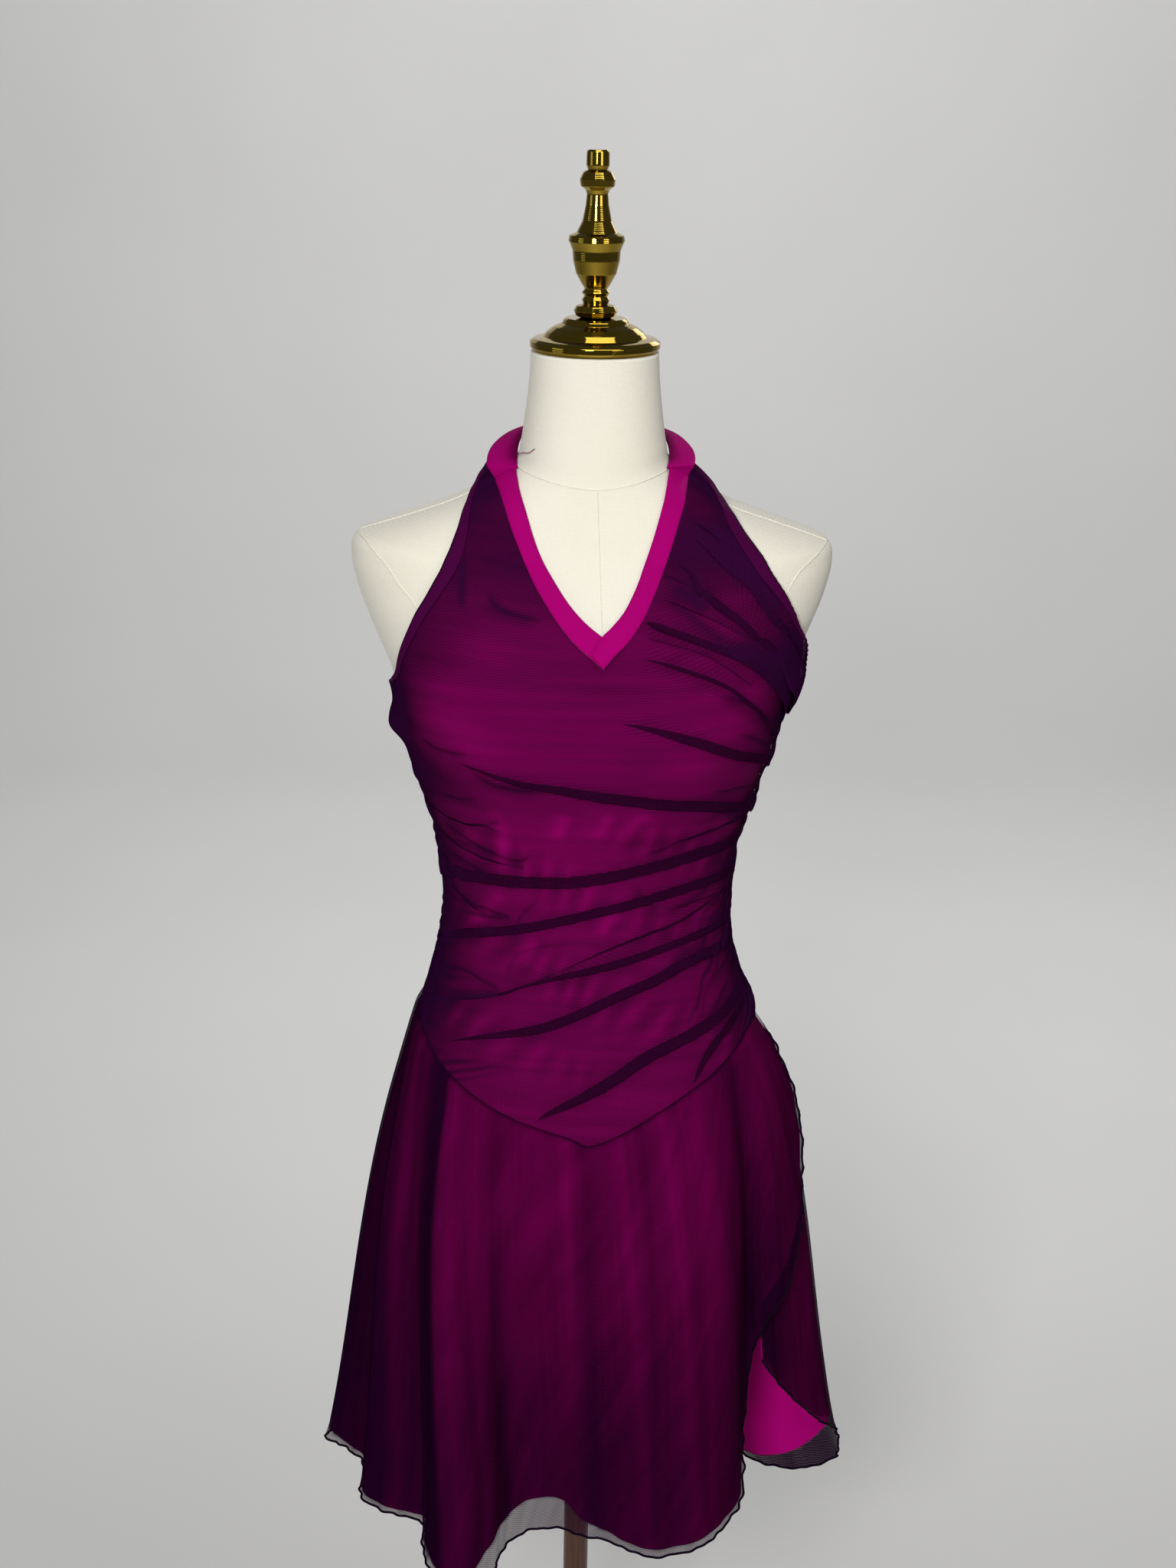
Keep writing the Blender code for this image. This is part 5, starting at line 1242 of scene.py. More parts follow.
def linen_material(name, colour):
    """Plain linen: crossed threads of uneven thickness, slubs and a warm mottling."""
    w = NodeWriter(name)
    place = w.place()
    warp = w.bands(place, 240.0, "X", 1.8)
    weft = w.bands(place, 240.0, "Z", 1.8)
    slub = w.noise(place, 420.0, 4.0)
    patch = w.noise(place, 9.0, 4.0)
    weave = w.plus(w.times(warp, weft), w.times(slub, 0.6))
    base = w.mix(patch, shade(colour), (colour[0] * 0.93, colour[1] * 0.90, colour[2] * 0.84, 1.0))
    base = w.mix(w.times(weave, 0.38), base, shade(colour, 0.72))
    return w.finish({"Base Color": base, "Roughness": 0.88, "Sheen Weight": 0.2}, weave, 0.0003, 0.55)


def brass_material(name, colour):
    """Polished brass: faint turning lines round the axis, small cloudy differences in polish."""
    w = NodeWriter(name)
    place = w.place()
    turning = w.bands(place, 240.0, "Z", 0.5)
    cloud = w.noise(place, 60.0, 4.0)
    inputs = {
        "Base Color": w.mix(cloud, shade(colour), shade(colour, 0.82)),
        "Metallic": 1.0,
        "Roughness": w.plus(w.times(cloud, 0.05), 0.02),
    }
    return w.finish(inputs, w.plus(turning, w.times(cloud, 0.7)), 0.00004, 0.5)


def wood_material(name, colour):
    """Stained wood: long wavy grain, darker pores and a varnish coat."""
    w = NodeWriter(name)
    place = w.stretched(w.place(), (1.0, 1.0, 0.12))
    grain = w.bands(place, 60.0, "X", 6.0)
    pores = w.noise(place, 500.0, 3.0)
    base = w.mix(grain, shade(colour), shade(colour, 0.55))
    inputs = {
        "Base Color": w.mix(w.times(pores, 0.3), base, shade(colour, 0.3)),
        "Roughness": w.plus(w.times(pores, 0.2), 0.28),
        "Coat Weight": 0.1,
    }
    return w.finish(inputs, w.plus(grain, pores), 0.0001, 0.4)


def thread_material(name, colour):
    """Sewing thread: a twisted diagonal ply over the dye."""
    w = NodeWriter(name)
    ply = w.bands(w.place(), 1500.0, "DIAGONAL", 0.2)
    base = w.mix(ply, shade(colour), shade(colour, 0.5))
    inputs = {"Base Color": base, "Roughness": 0.8, "Specular IOR Level": 0.06}
    return w.finish(inputs, ply, 0.0001, 0.6)


MATERIALS = {}


def material(key):
    """Each finish once, made from the colours in the panel."""
    if key not in MATERIALS:
        c = bpy.context.scene.dress_colours
        net, satin, thread = sheer_mesh_material, satin_material, thread_material
        finishes = {
            "bodice_net": (net, "bodice_sheer_mesh", c.mesh, c.mesh_deep, 0.43, 1.0, (9, 120, 1)),
            "skirt_net": (net, "skirt_sheer_mesh", c.skirt_mesh, c.skirt_mesh_deep, 0.46, 0.96, (75, 7, 1)),
            "armhole": (satin, "armhole_turned_mesh", c.armhole, 0.55),
            "lining": (satin, "dress_lining_satin", c.lining, 0.42),
            "band": (satin, "neck_band_satin", c.band, 0.42),
            # the strap: a darker copy of the band's satin, painted shade, with a painted shadow towards its
            # inner edge
            "strap": (satin, "halter_strap_satin", [channel * 0.92 for channel in c.band], 0.55, 0.8),
            "linen": (linen_material, "form_linen", c.linen),
            "brass": (brass_material, "turned_brass", c.brass),
            "wood": (wood_material, "stand_wood", c.wood),
            "hem": (thread, "overlock_thread", c.overlock),
            "thread": (thread, "sewing_thread", c.thread),
            "lining_thread": (thread, "lining_hem_thread", c.lining_thread),
        }
        make, *settings = finishes[key]
        MATERIALS[key] = make(*settings)
    return MATERIALS[key]


def colour_setting(label, tip, default):
    """A colour in the panel, red, green and blue from 0 to 1."""
    return bpy.props.FloatVectorProperty(
        name=label, description=tip, default=default, subtype="COLOR", size=3, min=0.0, max=1.0
    )


def length_setting(label, tip, default, low, high):
    """A length in the panel, shown to a hundredth of a millimetre."""
    return bpy.props.FloatProperty(
        name=label, description=tip, default=default, min=low, max=high, unit="LENGTH", precision=5
    )


def angle_setting(label, tip, degrees, low, high):
    """An angle in the panel: its default in degrees, its limits in radians."""
    return bpy.props.FloatProperty(
        name=label, description=tip, default=math.radians(degrees), min=low, max=high, subtype="ANGLE"
    )


class DressColours(bpy.types.PropertyGroup):
    """Dyes and finishes of the dress, the form and its stand"""

    mesh: colour_setting("Mesh", "Dye of the bodice's sheer layer", (0.028, 0.0018, 0.023))
    skirt_mesh: colour_setting("Skirt mesh", "Dye of the skirt's sheer layer", (0.022, 0.0006, 0.017))
    # also the colour of the painted shade in the bodice's outer layer
    mesh_deep: colour_setting(
        "Bunched mesh", "Sheer layer where it is bunched or doubled", (0.026, 0.0022, 0.030)
    )
    lining: colour_setting("Lining", "Dye of the satin lining", (0.430, 0.0006, 0.185))
    band: colour_setting("Neck band", "Dye of the neck bands and the strap", (0.370, 0.0003, 0.150))
    armhole: colour_setting("Armhole edge", "Turned mesh at the armholes", (0.055, 0.0012, 0.040))
    overlock: colour_setting("Overlock", "Thread of the rolled hems", (0.007, 0.0015, 0.012))
    thread: colour_setting("Thread", "Sewing thread", (0.060, 0.003, 0.055))
    # also the colour of the painted shade in the skirt's fold valleys
    skirt_mesh_deep: colour_setting(
        "Skirt mesh, bunched", "Mesh in the skirt's deep folds", (0.014, 0.0007, 0.015)
    )
    lining_thread: colour_setting("Lining thread", "Thread of the lining's hem", (0.300, 0.020, 0.130))
    linen: colour_setting("Linen", "Cover of the dress form", (0.840, 0.820, 0.735))
    brass: colour_setting("Brass", "Cap and finial", (0.430, 0.290, 0.036))
    wood: colour_setting("Wood", "Pole and base", (0.085, 0.024, 0.005))


class DressSizes(bpy.types.PropertyGroup):
    """Gaps, thickness and stitches of the cloth"""

    lining_off: length_setting(
        "Lining off the form", "Gap from the form to the bodice lining", 0.0012, 0.0005, 0.004
    )
    mesh_off: length_setting(
        "Mesh off the form", "Gap from the form to the bodice's outer layer", 0.0036, 0.001, 0.006
    )
    band_thickness: length_setting(
        "Band thickness", "Folded thickness of the neck bands and the strap", 0.0017, 0.0005, 0.004
    )
    stitch_length: length_setting(
        "Stitch", "Length of one stitch on the armhole edge", 0.0036, 0.001, 0.006
    )


class StageSettings(bpy.types.PropertyGroup):
    """Camera and light"""

    camera_distance: bpy.props.FloatProperty(
        name="Camera distance", description="From the camera to the dress's middle",
        default=1.924, min=1.0, max=6.0, unit="LENGTH",
    )
    camera_pitch: angle_setting("Camera pitch", "How far the camera looks down", 18.4, 0.0, 1.2)
    camera_roll: angle_setting(
        "Camera roll", "Slight turn of the camera about its own view", 0.93, -0.2, 0.2
    )
    key_power: bpy.props.FloatProperty(
        name="Key light", description="Power of the large front light", default=52.0, min=0.0, unit="POWER",
    )


class DRESS_OT_form(bpy.types.Operator):
    """Linen torso: the form's surface read finely, closed at both ends"""

    bl_idname = "dress.form"
    bl_label = "Dress form torso"

    def execute(self, context):
        columns, rows = 200, 300
        keys = np.asarray(FORM_SECTIONS)[:, 0]
        levels = np.interp(np.linspace(0, 1, rows), np.linspace(0, 1, len(keys)), keys)
        girth, level = np.meshgrid(-1 + 4 * np.arange(columns) / columns, levels)
        grid = form_surface(girth, level)
        add_grid_piece("dress_form_torso", grid, "linen", ("form_torso",), closed=True)
        return {"FINISHED"}


class DRESS_OT_form_seams(bpy.types.Operator):
    """Raised seams of the linen cover: neck, centre front and back, shoulders and arm caps"""

    bl_idname = "dress.form_seams"
    bl_label = "Linen seams"

    def execute(self, context):
        for name, places in FORM_SEAMS:
            girth, level = all_rows(places, 200).T
            path = raised(form_surface, girth, level, 0.0001)
            add_thread(name, path, FORM_SEAM_RADIUS, "linen")
        return {"FINISHED"}


class DRESS_OT_finial(bpy.types.Operator):
    """Turned brass cap and finial"""

    bl_idname = "dress.finial"
    bl_label = "Cap and finial"

    def execute(self, context):
        add_turned("brass_finial", FINIAL_PROFILE, *BRASS_TURNED, "brass", "brass", "finial")
        add_turned("brass_neck_cap", NECK_CAP_PROFILE, *BRASS_TURNED, "brass", "brass", "neck_cap")
        return {"FINISHED"}


class DRESS_OT_stand(bpy.types.Operator):
    """Pole and round base"""

    bl_idname = "dress.stand"
    bl_label = "Pole and base"

    def execute(self, context):
        add_turned("stand_pole", POLE_PROFILE, *WOOD_TURNED, "wood", "stand_wood", "pole")
        add_turned("stand_base", BASE_PROFILE, *WOOD_TURNED, "wood", "stand_wood", "base")
        return {"FINISHED"}


def joined_front(point_of, columns, rows_below, rows_beside):
    """Both halves of the front as one sheet, welded down the centre below the V.

    Each point carries its flat girth, its level and how densely the cloth lies there, a value with painted
    shade and painted highlights in it.
    """
    halves, maps = [], []
    for side in (-1, 1):
        cut = front_grid(side, columns, rows_below, rows_beside)
        data = np.stack([cut[0] * GIRTH_LENGTH, cut[1], bunching_and_painted_light(*cut[:3])], axis=-1)
        halves.append(facing_out(point_of(*cut), side))
        maps.append(facing_out(data, side))
    rows, cols = halves[0].shape[:2]
    quads = grid_quads(np.arange(rows * cols).reshape(rows, cols))
    quads = np.concatenate([quads, quads + rows * cols])
    shared = np.arange(rows_below + 1) * cols
    renumber = np.arange(2 * rows * cols)
    renumber[rows * cols + shared] = shared + cols - 1
    used, quads = np.unique(renumber[quads], return_inverse=True)
    points, data = (np.concatenate([half.reshape(-1, 3) for half in pair])[used] for pair in (halves, maps))
    return points, quads.reshape(-1, 4), data, halves


def facing_out(grid, side):
    """A grid over a half of the front with its columns in the order that faces its cells outwards."""
    return grid if side < 0 else grid[:, ::-1]


class DRESS_OT_bodice_front(bpy.types.Operator):
    """Front panel: satin lining under a sheer layer with laid-over pleats and gathers"""

    bl_idname = "dress.bodice_front"
    bl_label = "Bodice front"

    def execute(self, context):
        sizes = context.scene.dress_sizes
        self.add_layer("bodice_front_lining", lining_point, sizes.lining_off, LINING_GRID,
                       "lining", "lining_fabric", (), "stretched")
        self.add_layer("bodice_front_sheer", front_mesh_point, sizes.mesh_off, MESH_GRID,
                       "bodice_net", "mesh_fabric", ("bodice_front",), "gathered")
        return {"FINISHED"}

    @staticmethod
    def add_layer(name, point_of, out, grid_size, finish, slot, nodes, held):
        """One sheet over both halves; the sheer one also carries how densely it lies."""
        points, quads, data, halves = joined_front(lambda *cut: point_of(*cut, out), *grid_size)
        mesh = make_mesh(name, points, quads, data[:, :2])
        if nodes:
            # density of the outer layer, with painted shade and painted highlights in it
            set_bunching_and_painted_light(mesh, data[:, 2])
        piece = add_piece(name, mesh, finish, nodes)
        state_cut(piece, *laid_flat(*halves), held, "dress_form_torso")


class DRESS_OT_bodice_back(bpy.types.Operator):
    """Low plain back: lining and sheer layer from side seam to side seam"""

    bl_idname = "dress.bodice_back"
    bl_label = "Bodice back"

    def execute(self, context):
        sizes = context.scene.dress_sizes
        girths = np.linspace(1 - SIDE_LAP, 3 + SIDE_LAP, BACK_COLUMNS)
        bottom = waist_level(girths)
        top = BACK_TOP_LEVEL + (UNDERARM_LEVEL - BACK_TOP_LEVEL) * np.sin(np.pi / 2 * girths) ** 2
        level = bottom + (top - bottom) * np.linspace(0, 1, BACK_ROWS)[:, None]
        girth = np.broadcast_to(girths, level.shape)
        uv = np.stack([girth * GIRTH_LENGTH, level], axis=-1)
        tuck = WAIST_TUCK * np.exp(-(level - bottom) / TUCK_REACH)
        waves = BACK_RIPPLE * np.sin(19 * girth + 33 * level) * np.sin(57 * level)
        lift = sum(
            (1 - ramp(from_seam, 0.0, 0.35)) * seam_lift(side, level)
            for side, from_seam in ((1, girth - 1), (-1, 3 - girth))
        )
        for name, out, finish, slot, nodes in (
            ("bodice_back_lining", sizes.lining_off, "lining", "lining_fabric", ()),
            ("bodice_back_sheer", sizes.mesh_off, "bodice_net", "mesh_fabric", ("bodice_back",)),
        ):
            loose = (waves + lift) if nodes else 0.0
            distance = out - tuck + loose + side_bulge(girth, level)
            grid = raised(form_surface, girth, level, distance)
            piece = add_grid_piece(name, grid, finish, nodes, uv)
            if nodes:
                set_bunching_and_painted_light(piece.data, 0.4 + 0.95 * ramp(np.abs(girth - 2), 0.5, 0.9))
            state_cut(piece, *laid_flat(grid), "stretched", "dress_form_torso")
        tucked = BACK_EDGE_TUCK * (1 - ramp(1 - np.abs(girths - 2), 0.0, 0.10))
        edge = raised(form_surface, girths, top, sizes.mesh_off - tucked)
        add_thread("back_edge_roll", edge, BACK_ROLL_RADIUS, "armhole")
        return {"FINISHED"}


def band_edges(side):
    """The two edges of a neck band on the form, and the outward direction between them.

    The right band rises over the left one at the point of the V.
    """
    seam, edge = (NECK_SEAM_LEFT, NECK_EDGE_LEFT) if side < 0 else (NECK_SEAM_RIGHT, NECK_EDGE_RIGHT)
    shares = np.linspace(0.0, 1.0, BAND_SAMPLES)
    rise = LAP_RISE * (1 - ramp(shares, 0.4 * LAP_LENGTH, LAP_LENGTH)) if side > 0 else 0.0
    near, far = [], []
    for girth, level in (along_curve(seam, shares), along_curve(edge, shares)):
        off = BAND_OFF_FORM + rise + strap_lift(girth, level)
        near.append(raised(form_surface, girth, level, off))
        far.append(raised(form_surface, girth, level, off + 0.002))
    outward = unit(far[0] - near[0] + far[1] - near[1])
    outward = np.concatenate([outward, outward[-1:]])
    return lengthened(near[0], 0.0, BAND_OVERRUN), lengthened(near[1], 0.0, BAND_OVERRUN), outward


def lengthened(edge, at_start, at_end):
    """An edge run on at its ends under its own direction, so that two pieces lap."""
    first, last = edge[0] - edge[3], edge[-1] - edge[-4]
    first, last = first / np.linalg.norm(first) * at_start, last / np.linalg.norm(last) * at_end
    before = [edge[:1] + first] if at_start else []
    after = [edge[-1:] + last] if at_end else []
    return np.concatenate([*before, edge, *after])


def strip_uv(grid):
    """A strip's own map: metres along it and metres across it."""
    along = path_length(grid[:, 0])
    across = np.linspace(0, 2 * np.linalg.norm(grid[0, 0] - grid[0, grid.shape[1] // 2]), grid.shape[1])
    return np.stack(np.broadcast_arrays(along[:, None], across[None]), axis=-1)


class DRESS_OT_neck_bands(bpy.types.Operator):
    """Satin V-neck bands, the right one lapped over the left, and the halter strap"""

    bl_idname = "dress.neck_bands"
    bl_label = "Neck bands and strap"

    def execute(self, context):
        thickness = context.scene.dress_sizes.band_thickness
        joints = []
        for name, side, node in (
            ("neck_band_satin_left", -1, "neck_band_left"),
            ("neck_band_satin_right", 1, "neck_band_right"),
        ):
            seam, edge, outward = band_edges(side)
            joints.append([line[JOINT_ROW] + JOINT_RISE * outward[JOINT_ROW] for line in (edge, seam)])
            if side < 0:
                seam, edge = edge, seam
            grid = lens_strip(seam, edge, outward, thickness)
            self.add_band(name, grid, seam, edge, "band", node, "dress_form_torso")
        inner, outer = self.strap_edges(joints)
        along = np.gradient((inner + outer) / 2, axis=0)
        outward = unit(np.cross(outer - inner, along))
        outward *= np.sign(outward[:, 2:])
        grid = lens_strip(inner, outer, outward, thickness)
        strap = self.add_band(
            "halter_strap_satin", grid, inner, outer, "strap", "neck_strap", "neck_band_satin_left"
        )
        width = np.linalg.norm(inner - outer, axis=-1)[:, None]
        from_outer = np.linalg.norm(grid - outer[:, None], axis=-1) / width
        row = np.arange(len(grid))
        past_joint = ramp(row, *JOINT_FADE) * ramp(row[::-1], *JOINT_FADE)
        # painted shadow of the neck over the strap's inner half, faded out towards the joints
        set_bunching_and_painted_light(strap.data, ramp(from_outer, 0.45, 1.0) * past_joint[:, None])
        thread = raised(form_surface, *all_rows(LOOSE_THREAD, 60).T)
        add_thread("loose_thread", thread, THREAD_RADIUS, "lining_thread")
        return {"FINISHED"}

    @staticmethod
    def strap_edges(joints):
        """Inner and outer edge of the strap, read off its table of angles, radii and heights.

        Each is carried on to the bands' own edges, so that the strap's ends lie on the bands.
        """
        rows = all_rows(NECK_STRAP, 200)
        share = np.linspace(0, 1, JOINT_STEPS, endpoint=False)[:, None]
        edges = []
        for column, first, last in zip((0, 3), *joints):
            angle, radius, height = np.radians(rows[:, column]), rows[:, column + 1], rows[:, column + 2]
            edge = np.stack([radius * np.cos(angle), radius * np.sin(angle), height], axis=-1)
            edge = lengthened(edge, STRAP_OVERRUN, STRAP_OVERRUN)
            start = first + (edge[0] - first) * share
            end = last + (edge[-1] - last) * share[::-1]
            edges.append(np.concatenate([start, edge, end]))
        return edges

    @staticmethod
    def add_band(name, grid, first, second, finish, node, rests_on):
        """A folded band, cut as wide as its edges are apart and as long as its middle line."""
        piece = add_grid_piece(name, grid, finish, (node,), strip_uv(grid), closed=True)
        length = np.linalg.norm(np.diff((first + second) / 2, axis=0), axis=-1).sum()
        width = np.linalg.norm(first - second, axis=-1).max()
        area = sheet_area(np.concatenate([grid, grid[:, :1]], axis=1)) / 2
        state_cut(piece, width, length, area, "folded", rests_on)
        return piece


def armhole_strip(side, width, narrowing):
    """The panel's own rows from the underarm up, cut to a width from the outer edge.

    The width loses its share of narrowing towards the strap, and stays inside the panel.
    """
    girth, level, to_armhole, _ = front_grid(side, *MESH_GRID)
    first = int(np.argmax(level[:, 0] >= UNDERARM_LEVEL + ARMHOLE_START))
    girth, level, to_armhole = girth[first:], level[first:], to_armhole[first:]
    share = np.linspace(0, 1, ARMHOLE_COLUMNS)
    narrow = 1 - narrowing * (1 - ramp(level[:, :1], *ARMHOLE_NARROW_LEVELS))
    reach = np.minimum(width * narrow, 0.95 * to_armhole[:, -1:]) * share
    cut = [
        np.stack([np.interp(*row) for row in zip(reach, to_armhole, which)])
        for which in (girth, level, to_armhole)
    ]
    return *cut, np.ones(cut[0].shape), share


class DRESS_OT_armholes(bpy.types.Operator):
    """Turned armhole edges, each with a rolled edge and one row of stitches"""

    bl_idname = "dress.armholes"
    bl_label = "Armhole edges"

    def execute(self, context):
        sizes = context.scene.dress_sizes
        for name, side, width, narrowing in ARMHOLE_EDGES:
            *cut, share = armhole_strip(side, width, narrowing)
            plump = ARMHOLE_PLUMP * (1 - (2 * share - 1) ** 4)
            plump = plump - ARMHOLE_TURN * (1 - ramp(share, 0.0, 0.12))
            above = ramp(cut[1], UNDERARM_LEVEL, UNDERARM_LEVEL + ARMHOLE_SINK_REACH)
            sunk = ARMHOLE_SINK * (1 - above)
            grid = front_mesh_point(*cut, sizes.mesh_off + ARMHOLE_OFF_MESH + plump - sunk, 0.0)
            grid = facing_out(grid, side)
            uv = facing_out(np.stack([cut[0] * GIRTH_LENGTH, cut[1]], axis=-1), side)
            node = name.replace("edge", "band")
            piece = add_grid_piece(name, grid, "armhole", (node,), uv)
            state_cut(piece, *laid_flat(grid), "folded", "dress_form_torso")
            wall = piece.modifiers.new("wall", "SOLIDIFY")
            wall.thickness, wall.offset, wall.use_rim = ARMHOLE_WALL, 1.0, True
            off = sizes.mesh_off - ROLL_UNDER_MESH - sunk[:, 0]
            edge = front_mesh_point(*(c[:, 0] for c in cut), off, 0.0)
            add_thread(f"{name}_roll", edge, ARM_ROLL_RADIUS, "hem")
            line = front_mesh_point(*(c[:, -2] for c in cut), sizes.mesh_off + STITCH_OFF_MESH, 0.0)
            add_stitches(f"{name}_stitches", line, sizes.stitch_length)
        return {"FINISHED"}


def add_stitches(name, path, stitch):
    """A row of stitches: short six-sided threads, each with a raised middle, set along a path."""
    length = path_length(path)
    count = int(length[-1] // (stitch + STITCH_GAP))
    starts = (np.arange(count) + 0.5) * length[-1] / count - stitch / 2
    share = np.linspace(0, 1, 5)
    middle = along_path(path, length, starts[:, None] + stitch * share)
    side, up = (along_path(way, length, starts) for way in path_sides(path))
    angle = np.linspace(0, 2 * np.pi, 6, endpoint=False)
    ring = side[:, None, :] * np.cos(angle)[None, :, None] + up[:, None, :] * np.sin(angle)[None, :, None]
    thickness = STITCH_RADIUS * (0.25 + 0.75 * np.sin(np.pi * share) ** 0.5)
    points = middle[:, :, None, :] + ring[:, None] * thickness[None, :, None, None]
    quads = grid_quads(np.arange(count * 5 * 6).reshape(count, 5, 6), closed=True)
    add_piece(name, make_mesh(name, points.reshape(-1, 3), quads), "thread")


def along_path(values, length, place):
    """The values of a path's points, read straight between them at lengths along it."""
    return np.stack([np.interp(place, length, values[:, axis]) for axis in range(3)], axis=-1)


class DRESS_OT_skirt(bpy.types.Operator):
    """Two skirt panels, each a sheer layer over a shorter lining, with rolled hems"""

    bl_idname = "dress.skirt"
    bl_label = "Skirt"

    def execute(self, context):
        seam = LEFT_SEAM_PLACE
        for side, first, last in (("front", seam + 0.01, LAST_PLACE), ("back", 0.0, seam - 0.01)):
            panel = f"skirt_{side}"
            lining, uv, _ = skirt_layer(first, last, SKIRT_LINING_ROWS, SKIRT_LINING_OUT, lining=True)
            nodes = (f"{panel}_lining",)
            piece = add_grid_piece(f"{panel}_satin", lining, "lining", nodes, uv)
            state_cut(piece, *laid_flat(lining), "hung", f"bodice_{side}_sheer")
            sheer, uv, density_and_painted_light = skirt_layer(first, last, SKIRT_MESH_ROWS, SKIRT_MESH_OUT, lining=False)
            nodes = (f"{panel}_mesh",)
            piece = add_grid_piece(f"{panel}_sheer", sheer, "skirt_net", nodes, uv)
            set_bunching_and_painted_light(piece.data, density_and_painted_light)
            state_cut(piece, *laid_flat(sheer), "hung", f"bodice_{side}_sheer")
            add_thread(f"{panel}_rolled_hem", sheer[0], HEM_RADIUS, "hem")
            add_thread(f"{panel}_lining_hem", lining[0], LINING_HEM_RADIUS, "lining_thread")
        return {"FINISHED"}


# Lights: place, aim, size, power as a share of the key light's, colour
LIGHTS = (
    ("key", (-0.45, -2.50, 2.05), (0.0, 0.0, 1.05), 0.6, 1.0, (1.0, 0.985, 0.955)),
    ("fill", (1.75, -2.10, 1.80), (0.0, 0.0, 1.00), 1.0, 0.20, (1.0, 0.95, 0.88)),
    ("left_fill", (-2.3, -0.9, 1.60), (0.0, 0.0, 1.00), 1.0, 0.05, (0.88, 0.94, 1.0)),
    ("top", (0.3, -0.4, 3.40), (0.2, 1.5, 0.90), 1.6, 0.42, (1.0, 0.99, 0.97)),
    ("backdrop", (0.2, 1.2, 3.60), (0.2, 4.2, 2.60), 2.4, 1.9, (1.0, 0.99, 0.97)),
    ("rear", (1.4, 2.6, 2.40), (0.0, 0.0, 1.10), 1.2, 0.16, (1.0, 0.99, 0.97)),
)
WORLD_COLOUR, WORLD_STRENGTH = (0.86, 0.90, 0.95, 1.0), 0.09
FLOOR_COLOURS = ((0.80, 0.80, 0.80, 1), (0.74, 0.74, 0.745, 1))
FLOOR_BEND, FLOOR_BACK, FLOOR_FRONT, FLOOR_TOP, FLOOR_HALF_WIDTH = 1.6, 5.0, -5.0, 4.0, 7.0


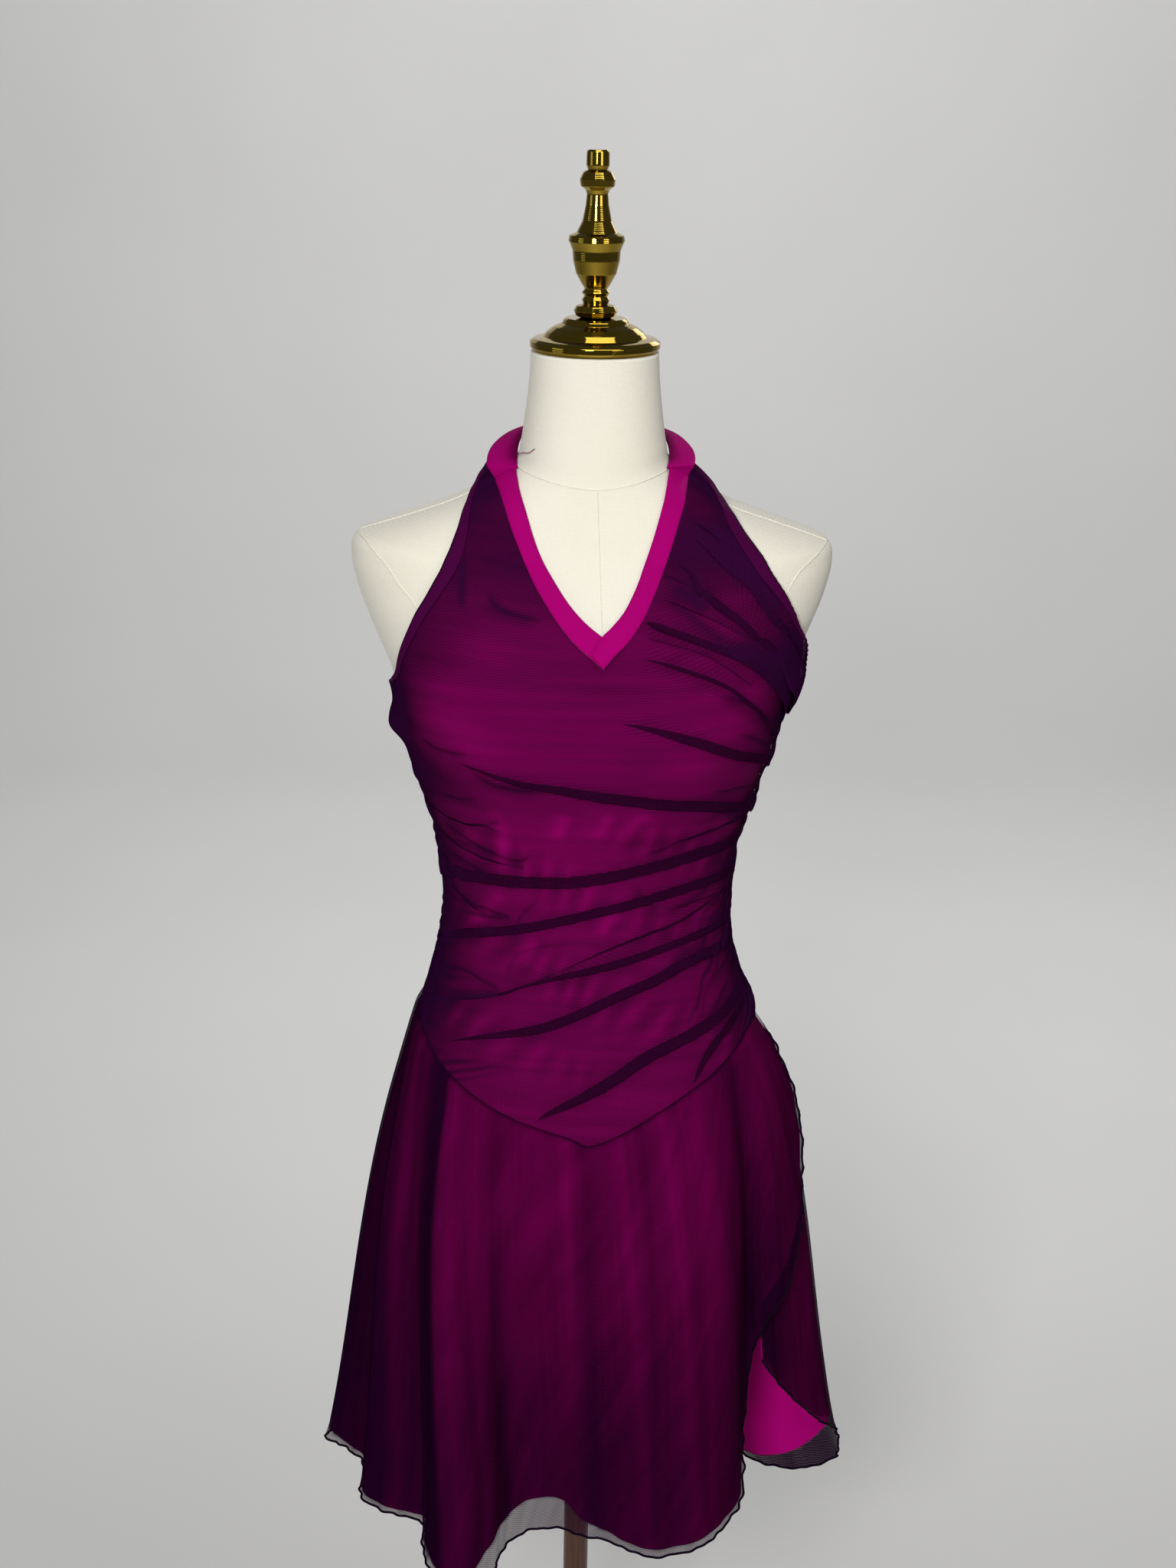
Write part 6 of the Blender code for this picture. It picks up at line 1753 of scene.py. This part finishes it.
class DRESS_OT_stage(bpy.types.Operator):
    """Pale floor that sweeps up behind, soft lights and the camera"""

    bl_idname = "dress.stage"
    bl_label = "Stage"

    def execute(self, context):
        settings = context.scene.stage_settings
        self.add_floor(context.scene)
        self.add_lights(context.scene, settings.key_power)
        self.add_camera(context.scene, settings)
        context.scene.view_settings.view_transform = "Standard"
        return {"FINISHED"}

    @staticmethod
    def add_floor(scene):
        """A long sheet: flat in front, a quarter circle behind, then upright."""
        bend = np.radians(np.linspace(0, 90, 24))
        sweep = FLOOR_BACK - FLOOR_BEND + FLOOR_BEND * np.sin(bend)
        depth = np.concatenate([[FLOOR_FRONT], sweep, [FLOOR_BACK]])
        height = np.concatenate([[0.0], FLOOR_BEND - FLOOR_BEND * np.cos(bend), [FLOOR_TOP]])
        across = np.linspace(-FLOOR_HALF_WIDTH, FLOOR_HALF_WIDTH, 3)
        grid = np.stack(np.broadcast_arrays(across[None], depth[:, None], height[:, None]), axis=-1)
        w = NodeWriter("pale_floor")
        mottle = w.noise(w.place(), 1.5, 3.0)
        w.feed(w.shader, {"Base Color": w.mix(mottle, *FLOOR_COLOURS), "Roughness": 0.9})
        floor = bpy.data.objects.new("pale_floor", make_grid_mesh("pale_floor", grid))
        floor.data.materials.append(w.material)
        scene.collection.objects.link(floor)

    @staticmethod
    def add_lights(scene, key_power):
        for name, place, aim, size, power, colour in LIGHTS:
            lamp = bpy.data.lights.new(name, "AREA")
            lamp.size, lamp.energy, lamp.color = size, power * key_power, colour
            holder = bpy.data.objects.new(name, lamp)
            holder.location = place
            holder.rotation_euler = Vector(np.subtract(aim, place)).to_track_quat("-Z", "Y").to_euler()
            scene.collection.objects.link(holder)
        scene.world = bpy.data.worlds.new("studio")
        scene.world.use_nodes = True
        background = scene.world.node_tree.nodes["Background"].inputs
        background["Color"].default_value = WORLD_COLOUR
        background["Strength"].default_value = WORLD_STRENGTH

    @staticmethod
    def add_camera(scene, settings):
        """The view looks down at the pitch, and its up axis is turned by the roll."""
        pitch, roll = settings.camera_pitch, settings.camera_roll
        forward = Vector((0, math.cos(pitch), -math.sin(pitch)))
        up = Vector((0, math.sin(pitch), math.cos(pitch)))
        right = Vector((1, 0, 0))
        image_right = right * math.cos(roll) + up * math.sin(roll)
        image_up = up * math.cos(roll) - right * math.sin(roll)
        pose = Matrix((image_right, image_up, -forward)).transposed().to_4x4()
        pose.translation = Vector((0, 0, CAMERA_AIM_HEIGHT)) - forward * settings.camera_distance
        camera = bpy.data.objects.new("photo_camera", bpy.data.cameras.new("photo_camera"))
        camera.data.sensor_width, camera.data.lens = CAMERA_SENSOR, CAMERA_LENS
        camera.matrix_world = pose
        scene.collection.objects.link(camera)
        scene.camera = camera


class DRESS_PT_panel(bpy.types.Panel):
    """Lists the steps in the order they are made"""

    bl_idname = "DRESS_PT_panel"
    bl_label = "Skating dress"
    bl_space_type = "VIEW_3D"
    bl_region_type = "UI"
    bl_category = "Skating dress"

    def draw(self, context):
        layout = self.layout
        for step in STEPS:
            layout.operator(step.bl_idname)
        for group in ("dress_colours", "dress_sizes", "stage_settings"):
            box = layout.box()
            settings = getattr(context.scene, group)
            for name in settings.bl_rna.properties.keys():
                if name not in {"rna_type", "name"}:
                    box.prop(settings, name)


STEPS = (
    DRESS_OT_stage,
    DRESS_OT_form,
    DRESS_OT_form_seams,
    DRESS_OT_finial,
    DRESS_OT_stand,
    DRESS_OT_bodice_front,
    DRESS_OT_bodice_back,
    DRESS_OT_neck_bands,
    DRESS_OT_armholes,
    DRESS_OT_skirt,
)
CLASSES = (DressColours, DressSizes, StageSettings, *STEPS, DRESS_PT_panel)


def register():
    for cls in CLASSES:
        bpy.utils.register_class(cls)
    bpy.types.Scene.dress_colours = bpy.props.PointerProperty(type=DressColours)
    bpy.types.Scene.dress_sizes = bpy.props.PointerProperty(type=DressSizes)
    bpy.types.Scene.stage_settings = bpy.props.PointerProperty(type=StageSettings)


def unregister():
    del bpy.types.Scene.stage_settings
    del bpy.types.Scene.dress_sizes
    del bpy.types.Scene.dress_colours
    for cls in reversed(CLASSES):
        bpy.utils.unregister_class(cls)


def main():
    register()
    for step in STEPS:
        group, name = step.bl_idname.split(".")
        getattr(getattr(bpy.ops, group), name)()


if __name__ == "__main__":
    main()
